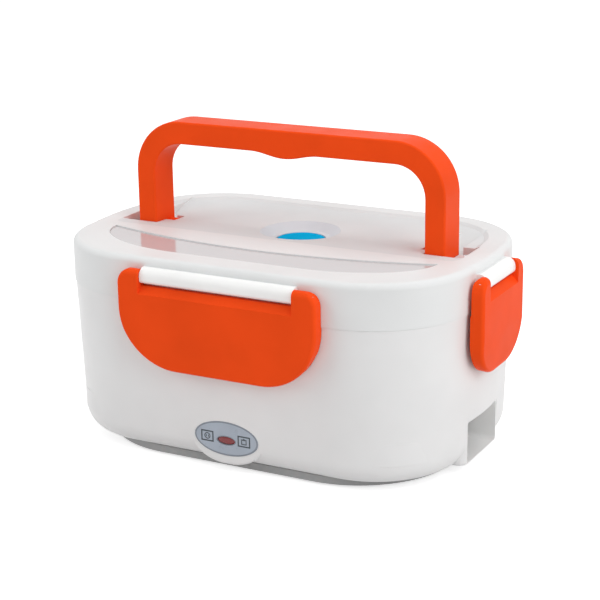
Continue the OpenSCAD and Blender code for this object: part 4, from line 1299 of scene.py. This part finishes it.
def ink_ring(x, z, radius, line):
    """A flat inked ring in front of the badge."""
    ring = drum("ink_ring", radius, (x, BADGE_LOW.y - INK, z), (x, BADGE_LOW.y + INK_SINK, z),
                axis="Y", sides=40)
    return cut(ring, drum("ink_ring_hole", radius - line, (x, BADGE_LOW.y - MM, z),
                          (x, BADGE_HIGH.y, z), axis="Y", sides=40))


def make_icon(badge, name, x, z):
    """An inked square outline; the two signs on the badge stand in it."""
    square = ink_bar(x, z, badge.icon_width, badge.icon_height)
    half_w = badge.icon_width / 2 - badge.line
    half_h = badge.icon_height / 2 - badge.line
    cut(square, block("icon_hole", (x - half_w, BADGE_LOW.y - MM, z - half_h),
                      (x + half_w, BADGE_HIGH.y, z + half_h)))
    return named(square, name)


def make_socket_icon(badge):
    """A round socket with two blades in a square."""
    icon = make_icon(badge, "socket_icon", SOCKET_X, BADGE_MIDDLE)
    weld(icon, ink_ring(SOCKET_X, BADGE_MIDDLE, SOCKET_RADIUS, SOCKET_LINE))
    for side in (-1, 1):
        weld(icon, ink_bar(SOCKET_X + side * BLADE_X, BADGE_MIDDLE, *BLADE))
    return icon


def make_bowl_icon(badge):
    """A bowl with a lid in a square."""
    icon = make_icon(badge, "bowl_icon", BOWL_X, BADGE_MIDDLE)
    for rise, width, height in BOWL_LID:
        weld(icon, ink_bar(BOWL_X, BADGE_MIDDLE + rise, width, height))
    middle = BADGE_MIDDLE - BOWL_DOWN
    half = BOWL_WIDTH / 2 - BOWL_WALL
    bowl = ink_bar(BOWL_X, middle, BOWL_WIDTH, BOWL_HEIGHT)
    cut(bowl, block("bowl_hole",
                    (BOWL_X - half, BADGE_LOW.y - MM, middle - BOWL_HEIGHT / 2 + BOWL_WALL),
                    (BOWL_X + half, BADGE_HIGH.y, middle + BOWL_HEIGHT)))
    return weld(icon, bowl)


# ------------------------------------------------------------------ painting the pieces

NODE_EDGE = 0.3 * MM
NODE_POINT = 0.001 * MM
FLAT_ANGLE = 0.6
PAINTS = {}


def paint(key):
    """One of the box's finishes; all are made when the first is asked for."""
    if not PAINTS:
        PAINTS.update(make_paints(bpy.context.scene.lunch_box_finish))
    return PAINTS[key]


def coat(obj, key):
    """Gives a piece one finish and no other."""
    obj.data.materials.clear()
    obj.data.materials.append(paint(key))


def dress(obj, body, slot, key, *stands_for):
    """Paints a piece and makes it ride on its body in the place of CAD nodes."""
    coat(obj, key)
    if stands_for:
        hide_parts(*stands_for)
    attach(obj, body)


def paint_zones(obj, zone_of, *keys):
    """Adds finishes, and gives each face the one whose number zone_of(points, normal) tells."""
    for key in keys:
        obj.data.materials.append(paint(key))
    for face in obj.data.polygons:
        points = [obj.data.vertices[i].co for i in face.vertices]
        face.material_index = zone_of(points, face.normal)


def finished(node, edge):
    """A copy of a CAD node with clean faces and softly rounded edges."""
    copy = twin(frame["nodes"][node], node + "_finished")
    only(copy)
    bpy.ops.object.parent_clear(type="CLEAR_KEEP_TRANSFORM")
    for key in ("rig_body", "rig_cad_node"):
        if key in copy:
            del copy[key]
    with Editing(copy) as edit:
        edit.all()
        bpy.ops.mesh.remove_doubles(threshold=NODE_POINT)
        bpy.ops.mesh.dissolve_limited(angle_limit=math.radians(FLAT_ANGLE))
    return smooth(soften(copy, edge, segments=2))


def finish_node(node, body, slot, key, edge=NODE_EDGE):
    """Replaces a CAD node by its finished copy."""
    dress(finished(node, edge), body, slot, key, node)


def repaint(node, key):
    """Paints a CAD node that stays as it is, and shades its round faces smooth."""
    coat(shade_round(frame["nodes"][node], ROUND_ANGLE), key)


# ------------------------------------------------------------------ stage

SENSOR = 36
CLIP_END = 30
FLOOR_SIZE = 8
AIM = Vector((0, 0, 0.07))
LAMPS = (("right_box", "right", (1.15, -0.35, 0.75), (0.9, 0.9)),
         ("left_box", "left", (-1.15, -0.7, 0.6), (0.7, 0.9)),
         ("top_box", "top", (0.0, 0.25, 1.35), (1.1, 0.9)))


def make_camera(stage):
    """A camera on the box, by its turn, height, roll and distance."""
    turn, rise, roll = (math.radians(v) for v in (stage.azimuth, stage.elevation, stage.roll))
    back = Vector((math.sin(turn) * math.cos(rise), -math.cos(turn) * math.cos(rise),
                   math.sin(rise)))
    level = (-back).cross(Vector((0, 0, 1))).normalized()
    upright = level.cross(-back)
    right = level * math.cos(roll) + upright * math.sin(roll)
    up = upright * math.cos(roll) - level * math.sin(roll)
    bpy.ops.object.camera_add()
    camera = bpy.context.object
    camera.name = "camera"
    camera.matrix_world = (Matrix.Translation(Vector(stage.target) + back * stage.distance)
                           @ Matrix((right, up, back)).transposed().to_4x4())
    camera.data.sensor_width = SENSOR
    camera.data.lens = SENSOR * stage.focal
    camera.data.clip_end = CLIP_END
    bpy.context.scene.camera = camera


def make_lamp(name, place, size, power):
    """A soft box at a place, aimed at the middle of the box."""
    bpy.ops.object.light_add(type="AREA", location=place)
    lamp = bpy.context.object
    lamp.name = name
    lamp.rotation_euler = (AIM - Vector(place)).to_track_quat("-Z", "Y").to_euler()
    lamp.data.shape = "RECTANGLE"
    lamp.data.size, lamp.data.size_y = size
    lamp.data.energy = power


def seen_or_mirrored(tree):
    """1 for what the camera sees straight, in a mirror or through glass, and 0 otherwise."""
    path = tree.nodes.new("ShaderNodeLightPath")
    total = path.outputs["Is Camera Ray"]
    for name in ("Is Glossy Ray", "Is Transmission Ray"):
        total = add_node(tree, "ShaderNodeMath", links=((0, total), (1, path.outputs[name])),
                         operation="MAXIMUM").outputs[0]
    return total


def empty_tree(owner):
    """The node tree of a new world or material, without its first nodes."""
    owner.use_nodes = True
    owner.node_tree.nodes.clear()
    return owner.node_tree


def make_world(stage):
    """White where it is seen or mirrored, and a plain even light elsewhere."""
    world = bpy.data.worlds.new("Studio")
    bpy.context.scene.world = world
    tree = empty_tree(world)
    lit, shown = (add_node(tree, "ShaderNodeBackground",
                           values=(("Color", (1, 1, 1, 1)), ("Strength", strength)))
                  for strength in (stage.ambient, 1.0))
    mix = add_node(tree, "ShaderNodeMixShader",
                   links=((0, seen_or_mirrored(tree)), (1, lit.outputs[0]), (2, shown.outputs[0])))
    add_node(tree, "ShaderNodeOutputWorld", links=(("Surface", mix.outputs[0]),))


def make_floor(stage):
    """A plain white floor that keeps the box's shadow."""
    only_none()
    bpy.ops.mesh.primitive_plane_add(size=FLOOR_SIZE, location=(0, 0, 0))
    floor = settle(named(bpy.context.object, "floor"))
    material = bpy.data.materials.new("White floor")
    tree = empty_tree(material)
    matt = add_node(tree, "ShaderNodeBsdfDiffuse",
                    values=(("Color", (stage.floor, stage.floor, stage.floor, 1)),))
    strength = add_node(tree, "ShaderNodeMath", links=((0, seen_or_mirrored(tree)),),
                        values=((1, stage.floor_glow),), operation="MULTIPLY")
    glow = add_node(tree, "ShaderNodeEmission", links=(("Strength", strength.outputs[0]),))
    total = add_node(tree, "ShaderNodeAddShader",
                     links=((0, matt.outputs[0]), (1, glow.outputs[0])))
    add_node(tree, "ShaderNodeOutputMaterial", links=(("Surface", total.outputs[0]),))
    floor.data.materials.append(material)


# ------------------------------------------------------------------ operators


class LUNCHBOX_OT_stage(Operator):
    """Sets up the camera, the floor and the soft light"""
    bl_idname = "lunchbox.stage"
    bl_label = "Stage"

    def execute(self, context):
        stage = context.scene.lunch_box_stage
        make_camera(stage)
        make_world(stage)
        make_floor(stage)
        for name, setting, place, size in LAMPS:
            make_lamp(name, place, size, getattr(stage, setting))
        context.scene.view_settings.view_transform = "Standard"
        return {"FINISHED"}


class LUNCHBOX_OT_case(Operator):
    """Models the white case"""
    bl_idname = "lunchbox.case"
    bl_label = "Case"

    def execute(self, context):
        case = make_case(context.scene.lunch_box_shell, context.scene.lunch_box_badge)
        dress(case, "case", "white_plastic", "case", "outer_case")
        # The recess's inner faces get a lighter white, painted light against their shade.
        paint_zones(case, in_recess, "polished")
        return {"FINISHED"}


class LUNCHBOX_OT_badge(Operator):
    """Models the indicator badge with its rim, signs and lens"""
    bl_idname = "lunchbox.badge"
    bl_label = "Badge"

    def execute(self, context):
        badge = context.scene.lunch_box_badge
        dress(make_badge(), "case", "badge", "badge", "badge_plate")
        dress(make_badge_rim(badge), "case", "badge", "badge_edge")
        dress(make_lens_frame(), "case", "badge", "badge_edge")
        dress(make_lens(), "case", "red_lens", "lens", "indicator_lens")
        dress(make_socket_icon(badge), "case", "badge", "ink")
        dress(make_bowl_icon(badge), "case", "badge", "ink")
        return {"FINISHED"}


class LUNCHBOX_OT_base(Operator):
    """Finishes the bottom cover, its screws and the feet"""
    bl_idname = "lunchbox.base"
    bl_label = "Base"

    def execute(self, context):
        finish_node("bottom_cover", "case", "grey_plastic", "base", 0.5 * MM)
        finish_node("feet", "case", "foot_rubber", "foot", 0.5 * MM)
        finish_node("cover_screws", "case", "steel", "screw", 0.12 * MM)
        return {"FINISHED"}


class LUNCHBOX_OT_inlet(Operator):
    """Finishes the mains inlet in its recess"""
    bl_idname = "lunchbox.inlet"
    bl_label = "Inlet"

    def execute(self, context):
        finish_node("inlet_socket", "case", "dark_plastic", "dark", 0.25 * MM)
        finish_node("inlet_pins", "case", "steel", "steel", 0.2 * MM)
        finish_node("inlet_screws", "case", "steel", "screw", 0.1 * MM)
        return {"FINISHED"}


class LUNCHBOX_OT_heater(Operator):
    """Finishes the heating plate and paints all that lies under the deck"""
    bl_idname = "lunchbox.heater"
    bl_label = "Heater"

    def execute(self, context):
        finish_node("heating_plate", "case", "aluminium", "turned", 0.4 * MM)
        for node, key in (("plate_seal", "seal"), ("heater_element", "ceramic"),
                          ("heater_clamp", "steel"), ("clamp_screws", "screw"),
                          ("thermal_cutout", "dark"), ("mains_wires", "brown"),
                          ("indicator_wires", "red"), ("indicator_board", "board")):
            repaint(node, key)
        return {"FINISHED"}


class LUNCHBOX_OT_containers(Operator):
    """Finishes the food container and the side dish cup"""
    bl_idname = "lunchbox.containers"
    bl_label = "Containers"

    def execute(self, context):
        finish_node("food_container", "container", "steel", "steel", 0.25 * MM)
        finish_node("side_dish_cup", "side_dish", "orange_plastic", "orange")
        return {"FINISHED"}


class LUNCHBOX_OT_lid(Operator):
    """Models the white lid and finishes its liner, gasket, screws and pins"""
    bl_idname = "lunchbox.lid"
    bl_label = "Lid"

    def execute(self, context):
        scene = context.scene
        shell, vent = scene.lunch_box_shell, scene.lunch_box_vent
        lid = make_lid(shell, scene.lunch_box_handle, scene.lunch_box_latch, vent)
        dress(lid, "lid", "lid_plastic", "lid", "lid_shell")
        # The vent well gets painted shade and a painted blue reflection, the lugs a painted
        # highlight.
        paint_zones(lid, lambda points, normal: lid_zone(shell, vent, points, normal),
                    "dish", "well", "polished")
        finish_node("lid_liner", "lid", "lid_plastic", "lid", 0.4 * MM)
        for node, key in (("liner_screws", "screw"), ("lid_gasket", "seal"),
                          ("latch_pins", "steel"), ("handle_pins", "steel"),
                          ("vent_seal", "seal")):
            repaint(node, key)
        return {"FINISHED"}


class LUNCHBOX_OT_vent_plug(Operator):
    """Models the blue plug of the steam vent"""
    bl_idname = "lunchbox.vent_plug"
    bl_label = "Vent Plug"

    def execute(self, context):
        plug = make_plug(context.scene.lunch_box_vent)
        dress(plug, "vent", "blue_silicone", "blue", "vent_plug")
        return {"FINISHED"}


class LUNCHBOX_OT_spoon_tray(Operator):
    """Models the cover of the spoon tray and finishes the spoon"""
    bl_idname = "lunchbox.spoon_tray"
    bl_label = "Spoon Tray"

    def execute(self, context):
        dress(make_cover(), "tray_cover", "clear_grey", "cover", "spoon_cover")
        finish_node("spoon", "cutlery", "orange_plastic", "orange", 0.25 * MM)
        return {"FINISHED"}


class LUNCHBOX_OT_handle(Operator):
    """Models the carrying handle"""
    bl_idname = "lunchbox.handle"
    bl_label = "Handle"

    def execute(self, context):
        handle = make_handle(context.scene.lunch_box_handle)
        dress(handle, "carry_handle", "orange_plastic", "orange", "handle")
        return {"FINISHED"}


class LUNCHBOX_OT_latches(Operator):
    """Models one long and one short latch, and puts a copy of each on the far side"""
    bl_idname = "lunchbox.latches"
    bl_label = "Latches"

    def execute(self, context):
        shell = context.scene.lunch_box_shell
        latch = context.scene.lunch_box_latch
        for names, corner, sides in (
                (("front", "back"), latch.long_corner, long_sides(shell, latch)),
                (("right", "left"), latch.short_corner, short_sides(shell, latch))):
            width, ear = sides[0][2:]
            first = make_latch(latch, f"latch_{names[0]}_body", width, ear, corner)
            pieces = (first, twin(first, f"latch_{names[1]}_body"))
            for piece, name, (turn, out, *_) in zip(pieces, names, sides):
                put_latch(latch, piece, turn, out)
                dress(piece, "latch_" + name, "orange_plastic", "orange", name + "_latch")
        return {"FINISHED"}


PIECE_OPERATORS = (LUNCHBOX_OT_case, LUNCHBOX_OT_badge, LUNCHBOX_OT_base, LUNCHBOX_OT_inlet,
                   LUNCHBOX_OT_heater, LUNCHBOX_OT_containers, LUNCHBOX_OT_lid,
                   LUNCHBOX_OT_vent_plug, LUNCHBOX_OT_spoon_tray, LUNCHBOX_OT_handle,
                   LUNCHBOX_OT_latches)
SETTINGS = (("lunch_box_shell", ShellSettings), ("lunch_box_handle", HandleSettings),
            ("lunch_box_latch", LatchSettings), ("lunch_box_badge", BadgeSettings),
            ("lunch_box_vent", VentSettings), ("lunch_box_finish", FinishSettings),
            ("lunch_box_stage", StageSettings))


class LUNCHBOX_PT_panel(Panel):
    """Lists the steps that build the lunch box, and their settings"""
    bl_idname = "LUNCHBOX_PT_panel"
    bl_label = "Electric Lunch Box"
    bl_space_type = "VIEW_3D"
    bl_region_type = "UI"
    bl_category = "Lunch Box"

    def draw(self, context):
        layout = self.layout
        for operator in (*PIECE_OPERATORS, LUNCHBOX_OT_stage):
            layout.operator(operator.bl_idname)
        for name, kind in SETTINGS:
            box = layout.box()
            group = getattr(context.scene, name)
            for prop in kind.__annotations__:
                box.prop(group, prop)


CLASSES = (*(kind for _, kind in SETTINGS), *PIECE_OPERATORS, LUNCHBOX_OT_stage,
           LUNCHBOX_PT_panel)


def register():
    for kind in CLASSES:
        bpy.utils.register_class(kind)
    for name, kind in SETTINGS:
        setattr(bpy.types.Scene, name, PointerProperty(type=kind))


def unregister():
    for name, _ in SETTINGS:
        delattr(bpy.types.Scene, name)
    for kind in reversed(CLASSES):
        bpy.utils.unregister_class(kind)


def main():
    register()
    bpy.ops.lunchbox.stage()
    for operator in PIECE_OPERATORS:
        getattr(bpy.ops.lunchbox, operator.bl_idname.split(".")[1])()


if __name__ == "__main__":
    main()
